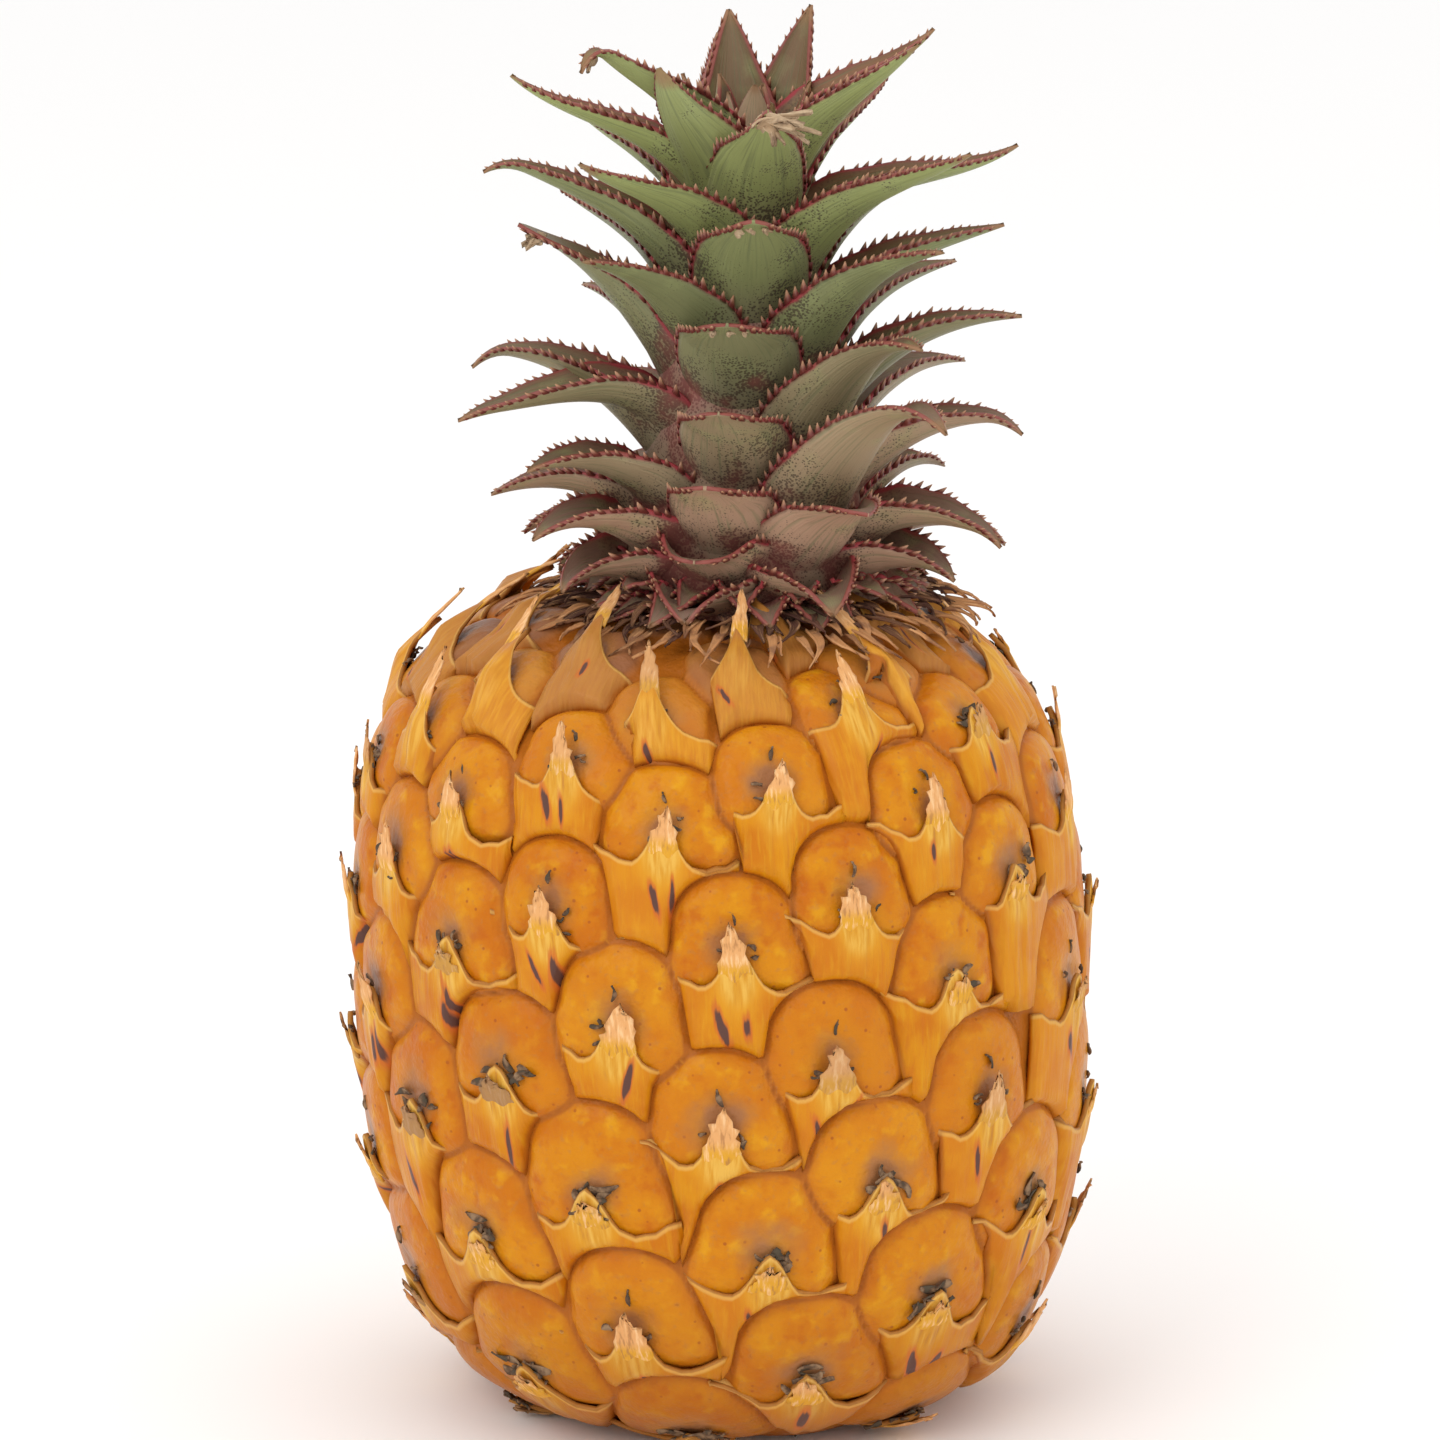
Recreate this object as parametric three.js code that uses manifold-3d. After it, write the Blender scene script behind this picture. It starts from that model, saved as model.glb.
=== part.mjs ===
// A small spiny-leaved pineapple, picked, standing upright on its base: the fruit with its eyes
// and their bracts, the crown of leaves, and the cut end of the stalk under the fruit.
// Millimetres, +Z up. The origin is the middle of the flat spot that the fruit stands on, and
// azimuths are measured from the front (-Y) towards the right (+X).
import * as THREE from "three";
import { mergeVertices } from "three/addons/utils/BufferGeometryUtils.js";
import Module from "manifold-3d";

const wasm = await Module();
wasm.setup();

// ---------- the fruit ----------

// Radius and height of the eyes' tops, from the stalk round the belly to the crown.
const OUTLINE_POINTS = [
  [14, 0],
  [27, 0.4],
  [36.8, 4.6],
  [43.2, 11.5],
  [48.2, 24],
  [51.4, 41],
  [52.3, 58],
  [51.8, 76],
  [49.6, 91],
  [45.3, 102],
  [38, 109.5],
  [28, 114.5],
  [19, 116.5],
];
const FRUIT_MIDDLE_Z = 58;
const LEAN_AT_BASE = 1.6; // the axis leans a little to -X on its way up
const LEAN_PER_MM = -0.029;

// The eyes sit on one spiral. Eye 0 is on the front of the shoulder and numbers rise downwards.
const FIRST_EYE = -50;
const LAST_FRINGE = -36; // the eyes up to this one are only the dry bracts of a fringe
const LAST_EYE = 58;
const EYE_TURN = 137.4; // degrees of azimuth from one eye to the next
const EYE_TURN_DRIFT = -5.2; // degrees, for the square of the eye's number over 30
const EYE_ZERO_AZIMUTH = 4.66;
const EYE_ZERO_DISTANCE = 102.15; // along the outline, from its lower end
const EYE_AREA = 349; // mm2 of skin for eye 0
const EYE_AREA_STEP = 3.2; // mm2 more for each eye further down
const ROW_SHIFT = -1.24; // mm that the rows climb on the +X side at mid height
const ROW_SHIFT_RISE = 6.4; // mm more at the top, and as much less at the base

const ROWS_BEYOND = 21; // the spiral runs on this far past both ends, to give the skin its edge
const ROW_STEPS = [8, 13]; // the next eye down each of the two rows through an eye
const ROW_POINTS = 6; // skin points from an eye to the next one along a row
const GROOVE_DEPTH = 3.4;
const DEEPEST_SKIN = 4.8; // between eyes, where neither a dome nor a bract reaches
const GROOVE_SHARPNESS = 2.4; // the power by which a dome falls away into the groove round it
const DOME_WIDTH = 10.4; // half the width and length of an eye of the mean size
const DOME_LENGTH = 9.8;
const DOME_RISE = 0.8; // the dome's top is this far above the eye's middle
const BRACT_TIP_V = 1.5; // the bract's tip, wings and foot, from the eye's middle
const BRACT_WING_V = -5.6;
const BRACT_FOOT_V = -14;
const BRACT_HALF_WIDTH = 9.6; // from wing to middle
const BRACT_TIP_HALF_WIDTH = 0.08; // as a share of that
const BRACT_POINTEDNESS = 1.5; // the power by which its sides draw in towards the tip
const BRACT_ROUNDNESS = 1.4; // the power by which it falls away to either side
const BRACT_CREST = 0.7; // how far the bract's middle stands over the eyes' tops
const TIP_STANDS = 1.7; // the same for its dry tip
const TIP_V = 1.9;
const FRINGE_TIP_V = 3.4; // the fringe's tips lie flatter, and further up the skin
const TIP_STRAY = 1.3; // the most that a tip strays sideways, either way
// Eyes that grew off their place on the spiral, by millimetres to their right and up the skin.
const STRAY_EYES = new Map([
  [-39, [-2, 1]], [-29, [2.5, 3]], [-26, [1.5, 1]], [-24, [-4, 2]], [-21, [2, 1.5]],
  [-18, [-2, 2]], [-16, [-3.5, 0]], [-13, [1.7, 4]], [-8, [-1.6, -2.5]], [-5, [1.9, 0.7]],
  [-3, [-3.5, 3]], [0, [-1.7, 0.7]], [3, [2.5, 2.5]], [5, [0.8, 0.5]], [8, [-0.6, -1]],
  [18, [-4.5, -1]], [21, [2.5, 0.4]], [24, [1, 1]], [26, [-3.5, 0]], [29, [3.7, 0.4]],
  [31, [-2, 1]], [37, [4, 1]], [39, [-1.5, 1.5]], [42, [0, -1.5]], [47, [0, 1.9]],
]);
const SKIN_START = 12; // stretch of the outline that the eyes' skin covers
const SKIN_END = 153;
const LEAST_GIRTH_RADIUS = 8; // eyes near the ends of the outline are sized as on this radius
const LEAST_TURN_RADIUS = 12; // and shaped as on this one

// ---------- the crown ----------

const CROWN_OFFSET = 3.7; // the crown grows a little to +X of the fruit's middle
const CROWN_BASE_Z = 114.4;
const STEM_RADIUS = 18.5; // the stem with the leaf bases that clasp it
const STEM_TAPER = 0.19; // mm of radius lost for each mm of height
const STEM_TOP_Z = 174;
const STEM_CAP_HEIGHT = 5; // it closes over in a blunt cap, of this share of its radius
const STEM_CAP_SHARE = 0.6;
const STEM_SIDES = 12;
const FIRST_LEAF = -7; // the leaves below leaf 0 are short, and lie on the fruit's shoulder
const LAST_LEAF = 47;
const LEAF_TURN = 135.58;
const LEAF_ZERO_AZIMUTH = -152.5;
const LEAF_WIDTH = 18.4;
const LEAF_WIDTH_LOSS = 5; // narrower by this at the top of the crown
const LEAF_THICKNESS = 1.7;
const LEAF_THICKEST_SHARE = 0.3; // never thicker than this share of its width
const LEAF_CHANNEL = 0.38; // depth of the channel at the base, as a share of the leaf's width
const LEAF_CHANNEL_LOSS = 0.14; // how much of that share is gone at the tip
const LEAF_STATIONS = 7;
const LEAF_BASE_WIDTH = 0.8; // shares of the full width: at the base, gained from there, and
const LEAF_WIDENING = 1.1; // at the widest, from where the leaf narrows by a power to its tip
const LEAF_WIDEST = 1.12;
const LEAF_TAPER = 0.8;
const LEAF_START_PULL = 0.42; // how far the leaf holds its first and last direction, as shares
const LEAF_END_PULL = 0.36; // of its span
const LEAF_ROOT = 2; // depth of a leaf's root in the stem
const TOOTH = 0.9; // how far a tooth stands out of the leaf's edge
// How the spiral's leaves change on the way up, each as [start, slope, curve] over the leaf's
// number as a share of LEAF_SCALE. Heights and radii in millimetres, turns in degrees.
const LEAF_SCALE = 50;
const LEAF_BASE_Z = [111.1, 54.3, 13.8];
const LEAF_TIP_RISE = [0.66, 39.7, -19.5]; // the tip's height over the base
const LEAF_TIP_RADIUS = [30.1, 43.9, -49.3];
const LEAF_RISE = [42, 34, 0]; // the leaf's direction over the level, where it leaves the stem
const LEAF_DROOP = [-42, 100, 0]; // and at its tip
// What the leaves below leaf 0 differ by, from none at leaf 0 to all at the first leaf.
const LOW_LEAF_REACH = 4;
const LOW_LEAF_TURN = 26;
const LOW_LEAF_CLEARANCE = 1.7; // the first leaf's tip, over the crown's base
const LOW_LEAF_STEP = 0.45; // each next tip is at least this much higher
const LOW_LEAF_BASE_DROP = 0.8; // and its base may be this much under the tip
// Leaves that have strayed from the spiral: degrees of azimuth, and millimetres out and up.
const STRAY_LEAVES = new Map([
  [1, [0, 0, 3]], [2, [-12, 6, -1]], [4, [0, 4, 7]], [7, [0, 1, -3]], [9, [0, 0, 6]],
  [10, [0, -4, 0]], [11, [0, 0, -4]], [12, [0, 7.5, 11.5]], [14, [-9, -4, -2]],
  [15, [0, 0, 1]], [17, [0, 0, 4.4]], [19, [0, 0, 2.5]], [20, [0, -1, 6.5]],
  [22, [-25, 2.5, -9]], [23, [0, -1.3, 1.6]], [24, [0, -4, 0]], [25, [-4, 0, 4.1]],
  [27, [0, -1.5, 8.5]], [28, [0, 0, 5.5]], [30, [0, -6, 0]], [31, [0, -2.3, 0]],
  [33, [0, 0, 5.9]], [35, [0, 1, 4]], [36, [0, 5, 5]], [39, [0, 4, -3]], [41, [0, 0, 5]],
  [43, [0, 2.3, 1.2]],
  [44, [0, -2, 5]], [46, [-15, 1, 4]], [47, [0, -1.5, 0]],
]);
// Leaves that broke off or withered, and the share of the leaf that is left.
const BROKEN_LEAVES = new Map([
  [1, 0.72], [4, 0.85], [9, 0.66], [17, 0.64], [25, 0.64], [27, 0.84], [33, 0.68], [41, 0.88],
]);
const BREAK_SQUARENESS = 3; // the power by which a broken leaf's end is squared off
const BREAK_FLATTENS = 2.2; // how fast its channel shallows along it, and where it starts to
const BREAK_FLAT_FROM = 0.5;
// The youngest leaves, upright in the heart: azimuth, tip radius, tip height and width.
const HEART_LEAVES = [
  [193, 13, 197, 18],
  [148, 15, 197.7, 16],
  [325, 21.5, 192.2, 21],
  [20, 8, 186, 11],
  [255, 10, 189, 12],
  [95, 9, 188, 11],
];
const HEART_DEPTH = 8; // they grow from this far below the stem's top
const HEART_RISE = 80;
const HEART_DROOP = 72;

// ---------- the stalk, and the gaps between neighbours ----------

const STALK_RADIUS = 11.5;
const STALK_TOP_Z = 12;
const STALK_TAPER = 0.6;
const STALK_SIDES = 18;
const GAP = 0.3;
// Radius and height of the flat collar round the stalk, which the fruit stands on.
const COLLAR_POINTS = [
  [24, -1],
  [27, 5],
  [20, STALK_TOP_Z + 3],
];

// Radius and height of the seam between fruit and crown: the fruit keeps below it.
const SEAM_POINTS = [
  [70, 80],
  [53, 91],
  [46.6, 103.2],
  [39, 111.3],
  [28.9, 116],
  [20, 117.2],
  [16.8, CROWN_BASE_Z],
];

const SEAM_SIDES = 40;
const ROOM_RADIUS = 70; // wide enough to clear the fruit and the crown

const SEED = 20231;
let randomState = SEED;

// A seeded random number from -1 to 1.
function spread() {
  randomState = (Math.imul(randomState, 1664525) + 1013904223) >>> 0;
  return (randomState / 4294967296) * 2 - 1;
}

// ---------- solids ----------

// Turns a list of triangles' corners into a manifold-3d solid that faces out.
function solidFromCorners(corners) {
  const loose = new THREE.BufferGeometry().setFromPoints(corners);
  const merged = mergeVertices(loose, 1e-4);
  const index = new Uint32Array(merged.index.array);
  const points = merged.getAttribute("position");
  if (signedVolume(points, index) < 0) index.reverse();
  const vertProperties = new Float32Array(points.array);
  return new wasm.Manifold(new wasm.Mesh({ numProp: 3, vertProperties, triVerts: index }));
}

function signedVolume(points, index) {
  const a = new THREE.Vector3();
  const b = new THREE.Vector3();
  const c = new THREE.Vector3();
  let sum = 0;
  for (let i = 0; i < index.length; i += 3) {
    a.fromBufferAttribute(points, index[i]);
    b.fromBufferAttribute(points, index[i + 1]);
    c.fromBufferAttribute(points, index[i + 2]);
    sum += a.dot(b.cross(c));
  }
  return sum / 6;
}

// A closed skin over rings of equally many points, from a start point to an end point.
function closedStack(start, rings, end) {
  const corners = [];
  const sides = rings[0].length;
  const last = rings.length - 1;
  for (let i = 0; i < sides; i += 1) {
    const next = (i + 1) % sides;
    corners.push(start, rings[0][next], rings[0][i]);
    corners.push(end, rings[last][i], rings[last][next]);
    for (let k = 0; k < last; k += 1) {
      const [low, high] = [rings[k], rings[k + 1]];
      corners.push(low[i], low[next], high[next]);
      corners.push(low[i], high[next], high[i]);
    }
  }
  return solidFromCorners(corners);
}

// A turned solid about the Z axis, from [radius, height] points that run upwards.
function turned(profile, sides) {
  const rings = profile.map(([radius, z]) => {
    const ring = [];
    for (let i = 0; i < sides; i += 1) {
      const turn = (2 * Math.PI * i) / sides;
      ring.push(new THREE.Vector3(radius * Math.sin(turn), -radius * Math.cos(turn), z));
    }
    return ring;
  });
  const bottom = new THREE.Vector3(0, 0, profile[0][1]);
  const top = new THREE.Vector3(0, 0, profile[profile.length - 1][1]);
  return closedStack(bottom, rings, top);
}

function union(solids) {
  return wasm.Manifold.union(solids);
}

// The biggest single body of a solid, so that scraps left by a cut are dropped.
function mainBody(solid) {
  const bodies = solid.decompose();
  return bodies.reduce((best, body) => (body.volume() > best.volume() ? body : best));
}

function meshOf(solid, name, color, roughness) {
  const made = solid.getMesh();
  const geometry = new THREE.BufferGeometry();
  const stride = made.numProp;
  const positions = new Float32Array(made.numVert * 3);
  for (let i = 0; i < made.numVert; i += 1) {
    positions.set(made.vertProperties.subarray(i * stride, i * stride + 3), i * 3);
  }
  geometry.setAttribute("position", new THREE.BufferAttribute(positions, 3));
  geometry.setIndex(new THREE.BufferAttribute(made.triVerts, 1));
  const material = new THREE.MeshStandardMaterial({ color, roughness, metalness: 0, flatShading: true });
  const mesh = new THREE.Mesh(geometry, material);
  mesh.name = name;
  return mesh;
}

// ---------- places on the fruit's skin ----------

const outline = new THREE.SplineCurve(OUTLINE_POINTS.map(([r, z]) => new THREE.Vector2(r, z)));
outline.arcLengthDivisions = 800;
const OUTLINE_LENGTH = outline.getLength();

function outlineAt(distance) {
  const share = THREE.MathUtils.clamp(distance / OUTLINE_LENGTH, 0, 1);
  const point = outline.getPointAt(share);
  const along = outline.getTangentAt(share);
  return { radius: point.x, z: point.y, outR: along.y, outZ: -along.x };
}

// A point over the skin: distance along the outline, azimuth, and height over the eyes' tops.
function onFruit(distance, azimuth, height) {
  const at = outlineAt(distance);
  const radius = at.radius + at.outR * height;
  const z = at.z + at.outZ * height;
  const lean = LEAN_AT_BASE + LEAN_PER_MM * z;
  return new THREE.Vector3(radius * Math.sin(azimuth) + lean, -radius * Math.cos(azimuth), z);
}

// A point near an eye: u to its right, v up the skin and height over the eyes' tops, where u and
// v grow with the eye.
function nearEye(eye, u, v, height) {
  const { radius } = outlineAt(eye.distance);
  const turn = (u * eye.size) / Math.max(radius, LEAST_TURN_RADIUS);
  return onFruit(eye.distance + v * eye.size, eye.azimuth + turn, height);
}

// Every eye's number, place and size, worked out by giving each its share of skin.
function eyePlaces() {
  const distances = new Map([[0, EYE_ZERO_DISTANCE]]);
  const areaOf = (number) => EYE_AREA + EYE_AREA_STEP * number;
  const girth = (distance) =>
    2 * Math.PI * Math.max(outlineAt(distance).radius, LEAST_GIRTH_RADIUS);
  for (let k = 0; k < LAST_EYE + ROWS_BEYOND; k += 1) {
    const from = distances.get(k);
    distances.set(k + 1, from - areaOf(k + 0.5) / girth(from));
  }
  for (let k = 0; k > FIRST_EYE - ROWS_BEYOND; k -= 1) {
    const from = distances.get(k);
    distances.set(k - 1, from + areaOf(k - 0.5) / girth(from));
  }
  const eyes = [];
  for (let number = FIRST_EYE - ROWS_BEYOND; number <= LAST_EYE + ROWS_BEYOND; number += 1) {
    const drift = EYE_TURN_DRIFT * (number / 30) ** 2;
    const evenAzimuth = THREE.MathUtils.degToRad(EYE_ZERO_AZIMUTH - EYE_TURN * number + drift);
    const level = outlineAt(distances.get(number)).z;
    const climb = ROW_SHIFT + (ROW_SHIFT_RISE * (level - FRUIT_MIDDLE_Z)) / FRUIT_MIDDLE_Z;
    const evenDistance = distances.get(number) + climb * Math.sin(evenAzimuth);
    const [right, up] = STRAY_EYES.get(number) ?? [0, 0];
    const distance = evenDistance + up;
    const turnRadius = Math.max(outlineAt(distance).radius, LEAST_TURN_RADIUS);
    const azimuth = evenAzimuth + right / turnRadius;
    const size = Math.sqrt(areaOf(number) / EYE_AREA);
    eyes.push({ number, azimuth, distance, size, stray: TIP_STRAY * spread() });
  }
  return eyes;
}

// ---------- the fruit's pieces ----------

// How far the skin stands over the eyes' tops: a low dome on each eye with a groove round it,
// and the eye's fleshy bract, which laps over the lower edge of the dome.
function skinHeight(distance, azimuth, eyes) {
  const { radius } = outlineAt(distance);
  let height = -DEEPEST_SKIN;
  for (const eye of eyes) {
    const u = (wrapped(azimuth - eye.azimuth) * radius) / eye.size;
    const v = (distance - eye.distance) / eye.size;
    if (Math.hypot(u, v) < 2 * DOME_WIDTH) {
      height = Math.max(height, domeHeight(u, v), bractHeight(u, v));
    }
  }
  return height;
}

function domeHeight(u, v) {
  const share = Math.hypot(u / DOME_WIDTH, (v - DOME_RISE) / DOME_LENGTH);
  return -GROOVE_DEPTH * share ** GROOVE_SHARPNESS;
}

// A kite with its wings spread BRACT_WING_V below the eye's middle, highest along its middle.
function bractHeight(u, v) {
  const up = (v - BRACT_WING_V) / (BRACT_TIP_V - BRACT_WING_V);
  const down = (BRACT_WING_V - v) / (BRACT_WING_V - BRACT_FOOT_V);
  if (up > 1 || down > 1) return -Infinity;
  const share = up > 0 ? (1 - up) ** BRACT_POINTEDNESS : 1 - down;
  const half = BRACT_HALF_WIDTH * (share + BRACT_TIP_HALF_WIDTH);
  const crest = BRACT_CREST - GROOVE_DEPTH * Math.max(down, 0) ** BRACT_POINTEDNESS;
  return crest - GROOVE_DEPTH * (Math.abs(u) / half) ** BRACT_ROUNDNESS;
}

function wrapped(angle) {
  return Math.atan2(Math.sin(angle), Math.cos(angle));
}

// The skin of the eyes: a net that runs from eye to eye down both rows, closed at either end
// by a fan to a point inside.
function eyeSkin(eyes) {
  const byNumber = new Map(eyes.map((eye) => [eye.number, eye]));
  const [left, right] = ROW_STEPS;
  const points = new Map();
  const pointAt = (number, i, j) => {
    const home = number + left * Math.floor(i / ROW_POINTS) + right * Math.floor(j / ROW_POINTS);
    const [a, b] = [(i % ROW_POINTS) / ROW_POINTS, (j % ROW_POINTS) / ROW_POINTS];
    const key = `${home}/${a}/${b}`;
    if (!points.has(key)) points.set(key, netPoint(byNumber, home, a, b, eyes));
    return points.get(key);
  };
  const faces = [];
  for (const eye of eyes) {
    for (let i = 0; i < ROW_POINTS; i += 1) {
      for (let j = 0; j < ROW_POINTS; j += 1) {
        const [n, steps] = [eye.number, [[i, j], [i + 1, j], [i + 1, j + 1], [i, j + 1]]];
        const corners = steps.map(([p, q]) => pointAt(n, p, q));
        if (corners.every((corner) => corner)) {
          const [p, q, r, t] = corners;
          faces.push([p, q, r], [p, r, t]);
        }
      }
    }
  }
  return solidFromCorners(faces.concat(endFans(faces)).flat());
}

// A point of the net, a and b of the way from an eye to the next ones down its two rows, or
// null where the net has ended. The point on an eye itself is drawn out into its bract's tip.
function netPoint(byNumber, number, a, b, eyes) {
  const [left, right] = ROW_STEPS;
  const corners = [
    [number, (1 - a) * (1 - b)],
    [number + left, a * (1 - b)],
    [number + right, (1 - a) * b],
    [number + left + right, a * b],
  ].filter(([, weight]) => weight > 0);
  if (!corners.every(([n]) => byNumber.has(n))) return null;
  const home = byNumber.get(number);
  let [distance, turn] = [0, 0];
  for (const [n, weight] of corners) {
    const eye = byNumber.get(n);
    distance += weight * eye.distance;
    turn += weight * wrapped(eye.azimuth - home.azimuth);
  }
  if (distance < SKIN_START || distance > SKIN_END) return null;
  if (a + b === 0) {
    const v = number > LAST_FRINGE ? TIP_V : FRINGE_TIP_V;
    return nearEye(home, home.stray, v, TIP_STANDS);
  }
  const azimuth = home.azimuth + turn;
  return onFruit(distance, azimuth, skinHeight(distance, azimuth, eyes));
}

// Fans from the net's two open edges to points on the fruit's axis.
function endFans(faces) {
  const open = new Map();
  for (const face of faces) {
    face.forEach((from, i) => {
      const to = face[(i + 1) % 3];
      if (open.get(to)?.has(from)) {
        open.get(to).delete(from);
      } else {
        if (!open.has(from)) open.set(from, new Set());
        open.get(from).add(to);
      }
    });
  }
  const low = new THREE.Vector3(0, 0, -1);
  const high = new THREE.Vector3(0, 0, CROWN_BASE_Z + 2);
  const fans = [];
  open.forEach((ends, from) => {
    ends.forEach((to) => fans.push([to, from, from.z < FRUIT_MIDDLE_Z ? low : high]));
  });
  return fans;
}

function fruit() {
  const eyes = eyePlaces();
  const collar = turned(COLLAR_POINTS, STALK_SIDES);
  // The room that the fruit keeps to: under the seam, and over the flat spot it stands on.
  const seam = SEAM_POINTS.map(([radius, z]) => [radius, z - GAP / 2]);
  const room = turned([[ROOM_RADIUS, 0], ...seam], SEAM_SIDES);
  const socket = turned(
    [
      [STALK_RADIUS + GAP, -5],
      [STALK_RADIUS + GAP, STALK_TOP_Z + GAP],
    ],
    STALK_SIDES,
  );
  return mainBody(eyeSkin(eyes).add(collar).intersect(room).subtract(socket));
}

// ---------- the crown's pieces ----------

function stemRadius(z) {
  return STEM_RADIUS - STEM_TAPER * (z - CROWN_BASE_Z);
}

// One leaf: a channelled, toothed blade along a curve that rises out of the stem and arches
// over. Its section is a keel outside and a trough inside. A broken leaf ends early, and is
// flat and blunt there.
function leaf({ azimuth, baseZ, tipRadius, tipZ, width, rise, droop, end = 1 }) {
  const baseRadius = stemRadius(baseZ) - LEAF_ROOT;
  const out = new THREE.Vector3(Math.sin(azimuth), -Math.cos(azimuth), 0);
  const side = new THREE.Vector3(Math.cos(azimuth), Math.sin(azimuth), 0);
  const from = new THREE.Vector2(baseRadius, baseZ);
  const to = new THREE.Vector2(tipRadius, tipZ);
  const span = from.distanceTo(to);
  const pull = (start, degrees, length) => {
    const turn = THREE.MathUtils.degToRad(degrees);
    return new THREE.Vector2(start.x + length * Math.cos(turn), start.y + length * Math.sin(turn));
  };
  const curve = new THREE.CubicBezierCurve(
    from,
    pull(from, rise, LEAF_START_PULL * span),
    pull(to, droop, -LEAF_END_PULL * span),
    to,
  );
  const place = (share, across, inward) => {
    const point = curve.getPoint(share);
    const along = curve.getTangent(share);
    const radius = point.x - along.y * inward;
    const z = point.y + along.x * inward;
    return new THREE.Vector3(CROWN_OFFSET, 0, z)
      .addScaledVector(out, radius)
      .addScaledVector(side, across);
  };
  const rings = [];
  for (let k = 0; k < LEAF_STATIONS; k += 1) {
    const done = k / (LEAF_STATIONS + 0.4);
    const share = done * end;
    const left = end < 1 ? Math.sqrt(1 - done ** BREAK_SQUARENESS) : 1;
    const flattened = BREAK_FLATTENS * Math.max(0, done - BREAK_FLAT_FROM);
    const hollow = end < 1 ? Math.max(0, 1 - flattened) : 1;
    const widening = LEAF_BASE_WIDTH + LEAF_WIDENING * share;
    const body = left * width * Math.min(widening, LEAF_WIDEST * (1 - share) ** LEAF_TAPER);
    const half = body / 2;
    const edge = half + (k % 2 ? TOOTH : 0);
    const depth = (LEAF_CHANNEL - LEAF_CHANNEL_LOSS * share) * body * hollow;
    const thick = Math.min(LEAF_THICKNESS, LEAF_THICKEST_SHARE * body);
    rings.push([
      place(share, -edge, depth + thick * 0.5),
      place(share, 0, 0),
      place(share, edge, depth + thick * 0.5),
      place(share, 0, thick),
    ]);
  }
  return closedStack(place(0, 0, 1), rings, place(end, 0, 0.4));
}

// The leaves of the spiral, numbered upwards. Those up to the middle of the crown are ever
// longer, those above it ever shorter and steeper, and the lowest lie on the fruit's shoulder.
function spiralLeaf(number) {
  const share = number / LEAF_SCALE;
  const along = ([start, slope, curve]) => start + slope * share + curve * share ** 2;
  const low = Math.max(0, number / FIRST_LEAF);
  const [swing, reach, lift] = STRAY_LEAVES.get(number) ?? [0, 0, 0];
  const lowest = CROWN_BASE_Z + LOW_LEAF_CLEARANCE + LOW_LEAF_STEP * (number - FIRST_LEAF);
  const baseZ = Math.max(along(LEAF_BASE_Z), lowest - LOW_LEAF_BASE_DROP);
  return leaf({
    azimuth: THREE.MathUtils.degToRad(LEAF_ZERO_AZIMUTH + LEAF_TURN * number + swing),
    baseZ,
    tipRadius: along(LEAF_TIP_RADIUS) + LOW_LEAF_REACH * low + reach,
    tipZ: Math.max(baseZ + along(LEAF_TIP_RISE), lowest) + lift,
    width: LEAF_WIDTH - LEAF_WIDTH_LOSS * share ** 2,
    rise: along(LEAF_RISE) - LOW_LEAF_TURN * low,
    droop: along(LEAF_DROOP),
    end: BROKEN_LEAVES.get(number),
  });
}

function heartLeaf([degrees, tipRadius, tipZ, width]) {
  return leaf({
    azimuth: THREE.MathUtils.degToRad(degrees),
    baseZ: STEM_TOP_Z - HEART_DEPTH,
    tipRadius,
    tipZ,
    width,
    rise: HEART_RISE,
    droop: HEART_DROOP,
  });
}

function crown() {
  const stem = turned(
    [
      [stemRadius(CROWN_BASE_Z - 1), CROWN_BASE_Z - 1],
      [stemRadius(STEM_TOP_Z), STEM_TOP_Z],
      [stemRadius(STEM_TOP_Z) * STEM_CAP_SHARE, STEM_TOP_Z + STEM_CAP_HEIGHT],
    ],
    STEM_SIDES,
  ).translate([CROWN_OFFSET, 0, 0]);
  const leaves = [];
  for (let number = FIRST_LEAF; number <= LAST_LEAF; number += 1) leaves.push(spiralLeaf(number));
  // The fruit's shoulder, which the crown grows down to.
  const seam = SEAM_POINTS.map(([radius, z]) => [radius, z + GAP / 2]);
  const bed = turned([[ROOM_RADIUS, FRUIT_MIDDLE_Z], ...seam], SEAM_SIDES);
  return mainBody(union([stem, ...leaves, ...HEART_LEAVES.map(heartLeaf)]).subtract(bed));
}

// The cut end of the stalk, flush with the spot that the fruit stands on.
function stalk() {
  return turned(
    [
      [STALK_RADIUS, 0],
      [STALK_RADIUS - STALK_TAPER, STALK_TOP_Z],
    ],
    STALK_SIDES,
  );
}

const pineapple = new THREE.Group();
pineapple.add(meshOf(fruit(), "fruit", 0xdd8a20, 0.5));
pineapple.add(meshOf(crown(), "crown", 0x6b6f4c, 0.6));
pineapple.add(meshOf(stalk(), "stalk", 0xc9a76a, 0.8));

export default pineapple;
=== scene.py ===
"""A small pineapple with its crown, standing on its base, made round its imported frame.

Lengths inside the makers are in millimetres and become metres where a piece is made.
Azimuths run from the front (-Y) towards the right (+X).
"""
import math

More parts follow.
